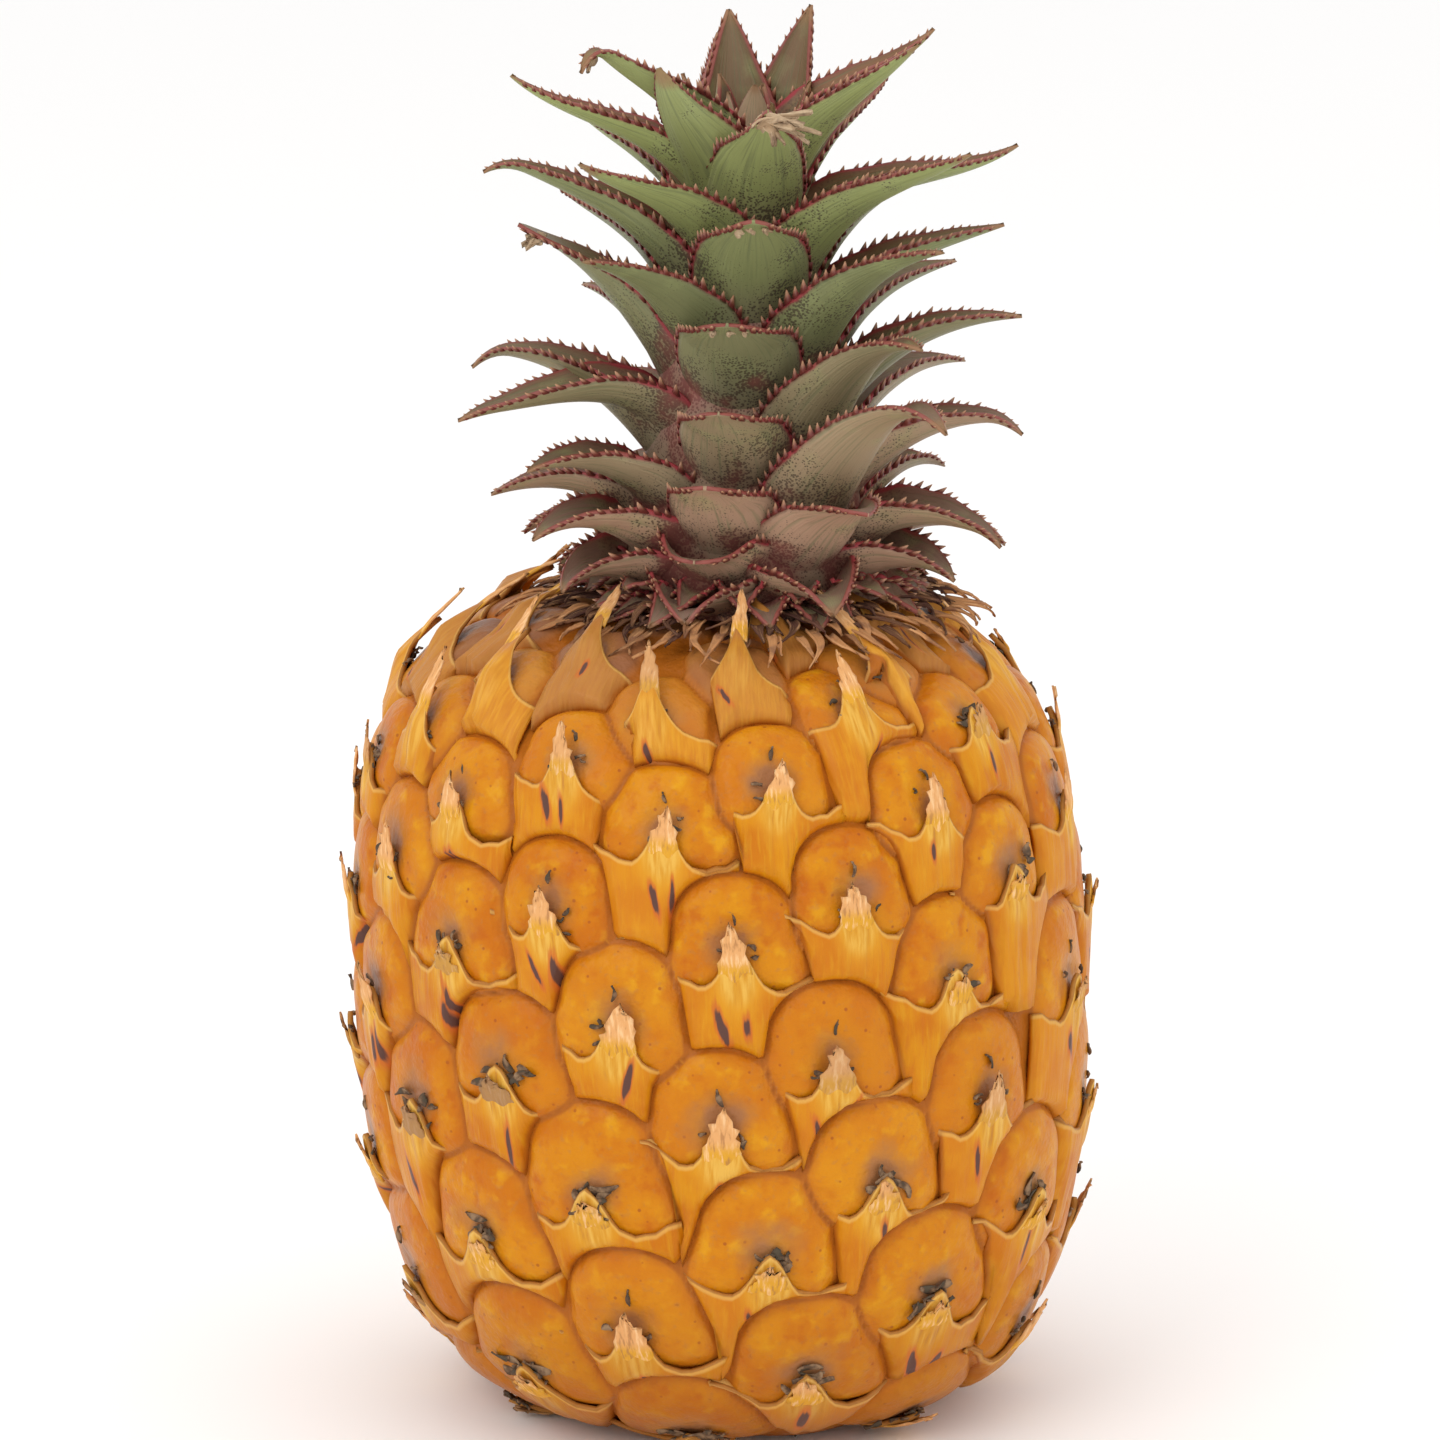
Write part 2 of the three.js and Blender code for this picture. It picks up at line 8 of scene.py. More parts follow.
import bmesh
import bpy
import numpy as np
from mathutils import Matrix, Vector


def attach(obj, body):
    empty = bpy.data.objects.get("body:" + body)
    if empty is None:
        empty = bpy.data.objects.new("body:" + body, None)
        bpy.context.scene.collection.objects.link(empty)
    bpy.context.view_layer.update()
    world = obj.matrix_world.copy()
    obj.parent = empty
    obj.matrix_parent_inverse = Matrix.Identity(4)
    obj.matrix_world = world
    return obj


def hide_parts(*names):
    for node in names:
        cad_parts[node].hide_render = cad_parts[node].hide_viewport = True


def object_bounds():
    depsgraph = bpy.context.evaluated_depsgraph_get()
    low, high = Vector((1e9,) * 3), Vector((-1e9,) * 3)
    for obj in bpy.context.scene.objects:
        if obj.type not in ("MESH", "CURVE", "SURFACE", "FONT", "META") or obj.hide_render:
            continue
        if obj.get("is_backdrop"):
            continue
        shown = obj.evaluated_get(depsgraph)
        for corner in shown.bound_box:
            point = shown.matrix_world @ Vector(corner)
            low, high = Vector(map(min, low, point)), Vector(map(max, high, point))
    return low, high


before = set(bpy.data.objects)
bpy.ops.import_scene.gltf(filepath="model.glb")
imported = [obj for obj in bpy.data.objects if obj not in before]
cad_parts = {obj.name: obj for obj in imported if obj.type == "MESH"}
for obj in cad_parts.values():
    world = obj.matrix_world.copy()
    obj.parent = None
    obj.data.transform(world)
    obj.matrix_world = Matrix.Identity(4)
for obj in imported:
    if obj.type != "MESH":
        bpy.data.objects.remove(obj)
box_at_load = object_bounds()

MM = 0.001

# ---------- the fruit's outline and its eyes, as the frame has them ----------

# Radius and height of points on the fruit's outline, from the base to under the crown.
OUTLINE_POINTS = [
    [14, 0], [27, 0.4], [36.8, 4.6], [43.2, 11.5], [48.2, 24], [51.4, 41], [52.3, 58],
    [51.8, 76], [49.6, 91], [45.3, 102], [38, 109.5], [28, 114.5], [19, 116.5],
]
FRUIT_MIDDLE_Z = 58
LEAN_AT_BASE = 1.6  # how far to the right the axis stands, and how that changes with height
LEAN_PER_MM = -0.029
LEAST_RADIUS = 12  # near the axis a turn counts as if on a circle of this radius
LEAST_GIRTH_RADIUS = 8
FIRST_EYE = -50  # the eyes are numbered down the spiral
LAST_EYE = 58
ROWS_BEYOND = 21
EYE_TURN = 137.4  # degrees from one eye to the next, and how far they drift by eye 30
EYE_TURN_DRIFT = -5.2
DRIFT_SPAN = 30
EYE_ZERO_AZIMUTH = 4.66
EYE_ZERO_DISTANCE = 102.15  # along the outline
EYE_AREA = 349  # square millimetres of skin, and how many more for each eye down
EYE_AREA_STEP = 3.2
ROW_SHIFT = -1.24  # how far the rows climb to the right at mid height, and how much more by the top
ROW_SHIFT_RISE = 6.4
TIP_STRAY = 1.3
# Eyes that grew off their place on the spiral, by millimetres to their right and up the skin.
STRAY_EYES = {
    -39: (-2, 1), -29: (2.5, 3), -26: (1.5, 1), -24: (-4, 2), -21: (2, 1.5),
    -18: (-2, 2), -16: (-3.5, 0), -13: (1.7, 4), -8: (-1.6, -2.5), -5: (1.9, 0.7),
    -3: (-3.5, 3), 0: (-1.7, 0.7), 3: (2.5, 2.5), 5: (0.8, 0.5), 8: (-0.6, -1),
    18: (-4.5, -1), 21: (2.5, 0.4), 24: (1, 1), 26: (-3.5, 0), 29: (3.7, 0.4),
    31: (-2, 1), 37: (4, 1), 39: (-1.5, 1.5), 42: (0, -1.5), 47: (0, 1.9),
}
SEED = 20231


def outline_table(points, samples=6400):
    """Distance along the outline, radius, height and direction, at close steps."""
    points = np.array(points, float)
    padded = np.vstack([points[:1], points, points[-1:]])
    last = len(points) - 1
    place = np.linspace(0, last, samples + 1)
    k = np.minimum(place.astype(int), last - 1)
    w = (place - k)[:, None]
    p0, p1, p2, p3 = padded[k], padded[k + 1], padded[k + 2], padded[k + 3]
    v0, v1 = (p2 - p0) / 2, (p3 - p1) / 2
    curve = (2 * p1 - 2 * p2 + v0 + v1) * w**3 + (-3 * p1 + 3 * p2 - 2 * v0 - v1) * w**2 + v0 * w + p1
    steps = np.hypot(*np.diff(curve, axis=0).T)
    distance = np.concatenate([[0], np.cumsum(steps)])
    along = np.gradient(curve, axis=0)
    along /= np.hypot(*along.T)[:, None]
    return distance, curve, along


OUTLINE = outline_table(OUTLINE_POINTS)


def outline_at(distance):
    """Radius, height, and the outward direction's two parts."""
    table, curve, along = OUTLINE
    read = [np.interp(distance, table, column) for column in (*curve.T, *along.T)]
    return read[0], read[1], read[3], -read[2]


def on_fruit(distance, azimuth, height):
    """Points over the skin, from distance along the outline, azimuth and height."""
    radius, z, out_r, out_z = outline_at(distance)
    radius = radius + out_r * height
    z = z + out_z * height
    x = radius * np.sin(azimuth) + LEAN_AT_BASE + LEAN_PER_MM * z
    return np.stack([x, -radius * np.cos(azimuth), z], -1)


def wrapped(angle):
    """An angle brought to between minus and plus half a turn."""
    return (angle + math.pi) % (2 * math.pi) - math.pi


def spread_numbers(count):
    """The same seeded numbers from -1 to 1 as in the frame."""
    state, numbers = SEED, []
    for _ in range(count):
        state = (state * 1664525 + 1013904223) % 2**32
        numbers.append(state / 2**32 * 2 - 1)
    return np.array(numbers)


def eye_places():
    """Number, azimuth, distance, size and stray of every eye on the spiral."""

    def area(number):
        return EYE_AREA + EYE_AREA_STEP * number

    def girth(distance):
        return 2 * math.pi * max(outline_at(distance)[0], LEAST_GIRTH_RADIUS)

    places = {0: EYE_ZERO_DISTANCE}
    for k in range(LAST_EYE + ROWS_BEYOND):
        places[k + 1] = places[k] - area(k + 0.5) / girth(places[k])
    for k in range(0, FIRST_EYE - ROWS_BEYOND, -1):
        places[k - 1] = places[k] + area(k - 0.5) / girth(places[k])
    number = np.arange(FIRST_EYE - ROWS_BEYOND, LAST_EYE + ROWS_BEYOND + 1)
    distance = np.array([places[n] for n in number])
    azimuth = np.radians(EYE_ZERO_AZIMUTH - EYE_TURN * number + EYE_TURN_DRIFT * (number / DRIFT_SPAN) ** 2)
    level = outline_at(distance)[1]
    climb = ROW_SHIFT + ROW_SHIFT_RISE * (level - FRUIT_MIDDLE_Z) / FRUIT_MIDDLE_Z
    right, up = np.array([STRAY_EYES.get(int(n), (0, 0)) for n in number]).T
    distance = distance + climb * np.sin(azimuth) + up
    return {
        "number": number,
        "azimuth": azimuth + right / np.maximum(outline_at(distance)[0], LEAST_RADIUS),
        "distance": distance,
        "size": np.sqrt(area(number) / EYE_AREA),
        "stray": TIP_STRAY * spread_numbers(len(number)),
    }


EYES = eye_places()
EYE_COUNT = len(EYES["number"])
NO_EYE = 9  # a share so large that an eye is left out
rng = np.random.default_rng(SEED)
# What differs from eye to eye: its tone, its width and height, and its tilt.
EYE_TONE = rng.uniform(0, 1, (EYE_COUNT, 3))
EYE_WIDE = rng.uniform(0.93, 1.06, EYE_COUNT)
EYE_TALL = rng.uniform(0.92, 1.07, EYE_COUNT)
EYE_TILT = rng.uniform(-0.12, 0.12, EYE_COUNT)
YOUNG_EYE = -24  # above this one the eyes stayed small and their bracts long, up to the fringe
YOUNG_SPAN = 14
EYE_YOUTH = np.clip((YOUNG_EYE - EYES["number"]) / YOUNG_SPAN, 0, 2)


def eyes_between(first, last):
    """The eyes numbered from first to last, each with its place in the tables."""
    return [(eye, number) for eye, number in enumerate(EYES["number"]) if first <= number <= last]


# ---------- the relief of the skin, in an eye's own millimetres ----------

DOME_HALF_WIDTH = 8.9  # an arch above, with a flatter foot that widens on the way down
DOME_WIDENING = 0.028
DOME_WIDENS_TO = 12
DOME_MIDDLE_V = -0.4
DOME_UP = 8.3
DOME_UP_SQUARENESS = 2.12
DOME_DOWN = 9.8
DOME_DOWN_SQUARENESS = 4.2
DOME_ROUNDING = 0.9
DOME_EDGE_FALL = 1.25
GROOVE_LEVEL = -(DOME_ROUNDING + DOME_EDGE_FALL)
GROOVE_SLOPE = 1.2
NEIGHBOUR_PUSH = 0.6  # where two domes meet, each gives way this strongly
HOLLOW = (0.55, -2.4, 3.2, 2.8)  # where the flower was: its depth, middle, half width and height
BRACT_CREST = 0.4
BRACT_FALL = 1.5
BRACT_HALF_WIDTH = 11.2


def near_eyes(distance, azimuth):
    """Where points lie in each eye's own millimetres: u to its right and v up."""
    radius = outline_at(distance)[0]
    turn = wrapped(azimuth[:, None] - EYES["azimuth"])
    u = turn * np.maximum(radius, LEAST_RADIUS)[:, None] / EYES["size"]
    v = (distance[:, None] - EYES["distance"]) / EYES["size"]
    return u, v


def dome_share(u, v, eye):
    """0 in the middle of a dome and 1 on the line round it."""
    tilt = EYE_TILT[eye]
    u, v = u + tilt * v, v - DOME_MIDDLE_V - tilt * u * 0.5
    low = np.clip(-v, 0, DOME_WIDENS_TO)
    tall = np.where(v > 0, DOME_UP, DOME_DOWN) * EYE_TALL[eye]
    square = np.where(v > 0, DOME_UP_SQUARENESS, DOME_DOWN_SQUARENESS)
    across = np.abs(u) / (DOME_HALF_WIDTH * EYE_WIDE[eye] * (1 + DOME_WIDENING * low))
    return (across**square + (np.abs(v) / tall) ** square) ** (1 / square)


def dome_height(share, u, v):
    """A low dome that falls into the groove, with a hollow where the flower was."""
    depth, middle, wide, tall = HOLLOW
    hollow = depth * np.exp(-((u / wide) ** 2 + ((v - middle) / tall) ** 2))
    return -DOME_ROUNDING * share**2 - DOME_EDGE_FALL * share**9 - hollow


POINTS_AT_ONCE = 8000


def skin_field(distance, azimuth):
    """For points of the skin: height, owner eye, u, v and the share of the owner's dome."""
    parts = []
    every_eye = np.arange(EYE_COUNT)
    for some in np.array_split(np.arange(len(distance)), max(1, len(distance) // POINTS_AT_ONCE)):
        u, v = near_eyes(distance[some], azimuth[some])
        share = dome_share(u, v, every_eye)
        owner = share.argmin(1)
        row = np.arange(len(some))
        second = share.copy()
        second[row, owner] = NO_EYE
        second = second.min(1)
        u, v, share = u[row, owner], v[row, owner], share[row, owner]
        share = np.maximum(share, 1 - NEIGHBOUR_PUSH * (second - share))
        height = dome_height(np.minimum(share, 1.0), u, v) - GROOVE_SLOPE * np.clip(share - 1, 0, 1)
        parts.append(np.stack([height, owner, u, v, share], 1))
    return np.concatenate(parts).T


# ---------- meshes ----------


def fresh_object(name):
    """The object just added by an operator, named."""
    made = bpy.context.object
    made.name = name
    made.data.name = name
    return made


def points_of(mesh):
    """A mesh's points, one to a row."""
    flat = np.empty(len(mesh.vertices) * 3, np.float32)
    mesh.vertices.foreach_get("co", flat)
    return flat.reshape(-1, 3).astype(float)


def flat_sheet(columns, rows):
    """A flat grid as a start, with its coordinates s across (-1 to 1) and t up (0 to 1)."""
    bpy.ops.object.select_all(action="DESELECT")
    bpy.ops.mesh.primitive_grid_add(x_subdivisions=columns, y_subdivisions=rows, size=2)
    made = fresh_object("sheet")
    flat = points_of(made.data)
    return made, np.clip(flat[:, 0], -1, 1), np.clip(flat[:, 1] * 0.5 + 0.5, 0, 1)


def note_values(mesh, notes):
    """Notes values on a mesh's points, for the materials."""
    for key, values in notes.items():
        values = np.asarray(values, np.float32)
        kind, field = ("FLOAT", "value") if values.ndim == 1 else ("FLOAT_VECTOR", "vector")
        note = mesh.attributes.get(key) or mesh.attributes.new(key, kind, "POINT")
        note.data.foreach_set(field, values.ravel())


def shape_mesh(mesh, points, notes):
    """Puts a mesh's points, in millimetres, with their notes."""
    mesh.vertices.foreach_set("co", (np.asarray(points) * MM).astype(np.float32).ravel())
    note_values(mesh, notes)
    mesh.update()


def grown_copies(name, template, shapes):
    """One object made of a copy of the template for each (points, notes) in shapes."""
    copies = []
    for points, notes in shapes:
        copy = template.copy()
        copy.data = template.data.copy()
        bpy.context.scene.collection.objects.link(copy)
        shape_mesh(copy.data, points, notes)
        copies.append(copy)
    bpy.data.objects.remove(template)
    bpy.ops.object.select_all(action="DESELECT")
    for copy in copies:
        copy.select_set(True)
    bpy.context.view_layer.objects.active = copies[0]
    bpy.ops.object.join()
    return fresh_object(name)


def thicken(piece, thickness, lined=False):
    """Gives a sheet its thickness, inwards, with its second material inside where it is lined."""
    bpy.context.view_layer.objects.active = piece
    bpy.ops.object.modifier_add(type="SOLIDIFY")
    solid = piece.modifiers[-1]
    solid.thickness = thickness * MM
    solid.offset = -1
    solid.use_even_offset = False
    if lined:
        solid.material_offset = 1
        solid.material_offset_rim = 0
    bpy.ops.object.modifier_apply(modifier=solid.name)


def close_up(piece, gap=0.0005):
    """Merges doubles, drops what has no area and turns the faces outwards."""
    work = bmesh.new()
    work.from_mesh(piece.data)
    bmesh.ops.remove_doubles(work, verts=work.verts, dist=gap * MM)
    bmesh.ops.dissolve_degenerate(work, edges=work.edges, dist=gap * MM)
    bmesh.ops.recalc_face_normals(work, faces=work.faces)
    work.to_mesh(piece.data)
    work.free()


def finish_piece(piece, node, slot, *materials):
    """Gives a piece its materials and smooth faces, and says what it rides on and replaces."""
    for material in materials:
        piece.data.materials.append(material)
    piece.data.polygons.foreach_set("use_smooth", [True] * len(piece.data.polygons))
    piece.data.update()
    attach(piece, "root")
    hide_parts(node)


# ---------- materials ----------

OWN_PATTERN = (40, 40, 40)  # how far apart in a pattern the copies of a piece lie, by their tones
HOLLOW_V = -2.2  # the middle of the withered hollow in an eye, painted mauve-brown and with painted shade, and of the pale neck of a bract
NECK_V = -5.6
PAINTED_SHADE_NEAR_FOOT = (35 * MM, 0)  # heights between which the fruit is painted darker on its way down: painted shade of its lower side


def colour(sheet_value):
    """An sRGB hex value as a linear colour."""
    parts = [int(sheet_value[k:k + 2], 16) / 255 for k in (1, 3, 5)]
    return [c / 12.92 if c <= 0.04045 else ((c + 0.055) / 1.055) ** 2.4 for c in parts] + [1]


def add_node(tree, kind, settings=None, links=None):
    """One node with its settings (properties, or sockets by name or number) and what feeds it."""
    made = tree.nodes.new("ShaderNode" + kind)
    for key, value in (settings or {}).items():
        if isinstance(key, int) or key in made.inputs:
            made.inputs[key].default_value = value
        else:
            setattr(made, key, value)
    for key, source in (links or {}).items():
        fed_by = source.outputs[0] if isinstance(source, bpy.types.Node) else source
        tree.links.new(fed_by, made.inputs[key])
    return made


def start_material(name, roughness, gloss=0.5):
    """A material, its node tree, and the place of each point on the piece."""
    made = bpy.data.materials.new(name)
    made.use_nodes = True
    tree = made.node_tree
    tree.nodes["Principled BSDF"].inputs["Roughness"].default_value = roughness
    tree.nodes["Principled BSDF"].inputs["Specular IOR Level"].default_value = gloss
    return made, tree, add_node(tree, "TexCoord").outputs["Object"]


def end_material(made, paint, bump=None):
    """The paint and the bump go to the material's shader."""
    links, shader = made.node_tree.links, made.node_tree.nodes["Principled BSDF"]
    links.new(paint, shader.inputs["Base Color"])
    if bump is not None:
        links.new(bump.outputs[0], shader.inputs["Normal"])
    return made


def fibres_along(tree, along, tone, stretch, closeness):
    """Fibres along a piece, that many to a millimetre or half width, each copy's own by its tone."""
    drawn = add_node(tree, "Mapping", {"Scale": stretch}, {"Vector": along})
    own = add_node(tree, "VectorMath", {"operation": "MULTIPLY_ADD", 1: OWN_PATTERN}, {0: tone, 2: drawn})
    return add_node(tree, "TexNoise", {"Scale": closeness, "Detail": 4}, {"Vector": own})


def away_from(tree, place, middle=(0, 0, 0), stretch=(1, 1, 1)):
    """How far each place lies from a middle, with the place stretched first."""
    settings = {"operation": "MULTIPLY_ADD", 1: stretch, 2: [-part for part in middle]}
    moved = add_node(tree, "VectorMath", settings, {0: place})
    return add_node(tree, "VectorMath", {"operation": "LENGTH"}, {0: moved}).outputs["Value"]


def painted(tree, paint, *coats):
    """Coats over a paint: a colour, a value, its low and high for none and all, and a strength."""
    for over, where, low, high, *strength in coats:
        settings = {"interpolation_type": "SMOOTHSTEP", "From Min": low, "From Max": high}
        settings["To Max"] = strength[0] if strength else 1.0
        mask = add_node(tree, "MapRange", settings, {"Value": where})
        mix = add_node(tree, "Mix", {"data_type": "RGBA"}, {0: mask})
        for socket, part in ((6, paint), (7, over)):
            if isinstance(part, str):
                mix.inputs[socket].default_value = colour(part)
            else:
                tree.links.new(part, mix.inputs[socket])
        paint = mix.outputs[2]
    return paint


def skin_material():
    """Pineapple skin: waxy, leathery, deep yellow-orange, withered and mauve behind the tips; painted shade
    in hollows, grooves and low down.
    """
    made, tree, place = start_material("pineapple_eye_skin", 0.36, 0.16)
    rim = add_node(tree, "Attribute", {"attribute_name": "rim"}).outputs["Fac"]
    young = add_node(tree, "Attribute", {"attribute_name": "young"}).outputs["Fac"]
    lobe = add_node(tree, "Attribute", {"attribute_name": "lobe"}).outputs["Vector"]
    tone = add_node(tree, "Attribute", {"attribute_name": "tone"}).outputs["Vector"]
    tone = add_node(tree, "SeparateXYZ", {}, {0: tone}).outputs
    height = add_node(tree, "SeparateXYZ", {}, {0: place}).outputs[2]
    patches = add_node(tree, "TexNoise", {"Scale": 1 / (7 * MM), "Detail": 4}, {"Vector": place})
    lumps = add_node(tree, "TexNoise", {"Scale": 1 / (3.2 * MM), "Detail": 3}, {"Vector": place})
    fine = add_node(tree, "TexNoise", {"Scale": 1 / (1.1 * MM), "Detail": 5}, {"Vector": place})
    freckles = add_node(tree, "TexVoronoi", {"Scale": 1 / (2.6 * MM)}, {"Vector": place})
    # noise that breaks up the edge of the hollow's patch
    hollow_breakup = add_node(tree, "Math", {"operation": "MULTIPLY_ADD", 1: -9.0, 2: 4.5}, {0: patches})
    hollow = away_from(tree, lobe, (0, HOLLOW_V, 0))
    hollow = add_node(tree, "Math", {"operation": "SUBTRACT"}, {0: hollow, 1: hollow_breakup})
    paint = painted(
        tree, "#c06a06",
        ("#ce830a", patches, 0.35, 0.65),
        ("#da9c14", lumps, 0.52, 0.74, 0.7),
        ("#b55808", lumps, 0.46, 0.26, 0.7),
        ("#d79018", tone[0], 0.2, 1.6, 0.6),
        ("#b85a0a", tone[1], 0.3, 1.5, 0.6),
        ("#b0743a", fine, 0.56, 0.7, 0.35),
        ("#9a4a1c", freckles, 0.13, 0.06, 0.7),
        ("#b87a34", young, 0.2, 1.0, 0.6),
        # the youngest skin near the crown: its own dry brown, darkened further as painted shade under the
        # fringe
        ("#8a5a40", young, 1.0, 1.5, 0.8),
        # painted shade: darker towards the fruit's foot
        ("#a05c1a", height, *PAINTED_SHADE_NEAR_FOOT, 0.6),
        # mauve-brown where the flower withered, and partly painted shade of the hollow
        ("#b0763c", hollow, 5.0, 2.0, 0.6),
        ("#966a50", hollow, 2.8, 0.8, 0.6),
        # painted shade along the dome's edge and in the grooves, over the lines' own darker orange-brown
        ("#c0701c", rim, 0.83, 0.95, 0.5),
        ("#ad621a", rim, 0.925, 0.975),
        ("#8a4a14", fine, 0.7, 0.8, 0.5),
    )
    lumpy = add_node(tree, "Bump", {"Strength": 0.5, "Distance": 1.2 * MM}, {"Height": lumps})
    links = {"Height": fine, "Normal": lumpy}
    return end_material(made, paint, add_node(tree, "Bump", {"Strength": 0.3, "Distance": 0.5 * MM}, links))


def bract_material():
    """The fleshy bract: smoother than the eye, yellow, drawn in fibres towards its tip."""
    made, tree, place = start_material("fleshy_bract", 0.36, 0.16)
    rim = add_node(tree, "Attribute", {"attribute_name": "rim"}).outputs["Fac"]
    edge = add_node(tree, "Attribute", {"attribute_name": "edge"}).outputs["Fac"]
    young = add_node(tree, "Attribute", {"attribute_name": "young"}).outputs["Fac"]
    lobe = add_node(tree, "Attribute", {"attribute_name": "lobe"}).outputs["Vector"]
    tone = add_node(tree, "Attribute", {"attribute_name": "tone"}).outputs["Vector"]
    up = add_node(tree, "SeparateXYZ", {}, {0: lobe}).outputs[1]
    height = add_node(tree, "SeparateXYZ", {}, {0: place}).outputs[2]
    patches = add_node(tree, "TexNoise", {"Scale": 1 / (6 * MM), "Detail": 4}, {"Vector": place})
    fibres = fibres_along(tree, lobe, tone, (1.0, 0.12, 1.0), 1.5)
    stretch = (1.3, 0.75, 1)
    neck = away_from(tree, lobe, (0, NECK_V * stretch[1], 0), stretch)
    pale = painted(tree, "#d0922a", ("#e0ae4c", fibres, 0.4, 0.65), ("#b87a34", fibres, 0.42, 0.3, 0.7))
    dull = painted(tree, "#c47c24", ("#d8962c", fibres, 0.25, 0.75))
    paint = painted(
        tree, "#c26f08",
        ("#ce860e", patches, 0.35, 0.65),
        ("#d4981c", fibres, 0.5, 0.75, 0.5),
        ("#c06a18", fibres, 0.46, 0.28, 0.5),
        ("#d48620", add_node(tree, "SeparateXYZ", {}, {0: tone}).outputs[2], 0.2, 1.3, 0.5),
        ("#da9c2a", neck, 6.5, 2.0, 0.9),
        (pale, neck, 4.4, 2.4),
        (dull, young, 0.1, 1.0, 0.7),
        ("#a9703c", young, 1.0, 1.6, 0.7),
        ("#b5794a", up, -1.0, 5.0, 0.85),
        # painted shade: darker towards the fruit's foot
        ("#a05c1a", height, *PAINTED_SHADE_NEAR_FOOT, 0.5),
        # painted shade in the grooves, over the lines' own darker orange-brown
        ("#ad621a", rim, 1.07, 1.02),
        # a painted highlight just under the bract's upper edge, and a painted shadow line on it where it
        # steps over the dome
        ("#e2b664", edge, 0.62, 0.3, 0.5),
        ("#9a5b26", edge, 0.22, 0.02, 0.7),
    )
    for name in ("slit_a", "slit_b"):
        slit = away_from(tree, add_node(tree, "Attribute", {"attribute_name": name}).outputs["Vector"])
        ragged = add_node(tree, "Math", {"operation": "MULTIPLY_ADD", 1: 1.6}, {0: fibres, 2: slit})
        paint = painted(tree, paint, ("#c46428", ragged, 2.7, 1.9, 0.8), ("#5e4038", ragged, 1.95, 1.55))
    bump = add_node(tree, "Bump", {"Strength": 0.4, "Distance": 0.5 * MM}, {"Height": fibres})
    return end_material(made, paint, bump)


def papery_material():
    """The bract's dried tip: papery, pale pinkish tan, with brown fibres."""
    made, tree, _ = start_material("dry_bract_tip", 0.75, 0.15)
    lobe = add_node(tree, "Attribute", {"attribute_name": "lobe"}).outputs["Vector"]
    tone = add_node(tree, "Attribute", {"attribute_name": "tone"}).outputs["Vector"]
    up = add_node(tree, "SeparateXYZ", {}, {0: lobe}).outputs[1]
    decay = add_node(tree, "SeparateXYZ", {}, {0: tone}).outputs[1]
    fibres = fibres_along(tree, lobe, tone, (1.0, 0.2, 1.0), 2.2)
    paint = painted(
        tree, "#da9f32",
        ("#e0a56a", up, -5.6, -3.4),
        ("#f3c692", fibres, 0.5, 0.68, 0.8),
        ("#a87448", fibres, 0.45, 0.3, 0.7),
        ("#9a7454", decay, 0.7, 1.3, 0.8),
    )
    bump = add_node(tree, "Bump", {"Strength": 0.5, "Distance": 0.3 * MM}, {"Height": fibres})
    return end_material(made, paint, bump)


def withered_material():
    """Shrivelled flower remains: dull, crumpled, grey-brown to nearly black."""
    made, tree, place = start_material("withered_flower", 0.85, 0.15)
    patches = add_node(tree, "TexNoise", {"Scale": 1 / (1.6 * MM), "Detail": 4}, {"Vector": place})
    paint = painted(tree, "#4a352a", ("#94785c", patches, 0.4, 0.66), ("#5d5a4a", patches, 0.5, 0.4, 0.5))
    bump = add_node(tree, "Bump", {"Strength": 0.6, "Distance": 0.4 * MM}, {"Height": patches})
    return end_material(made, paint, bump)


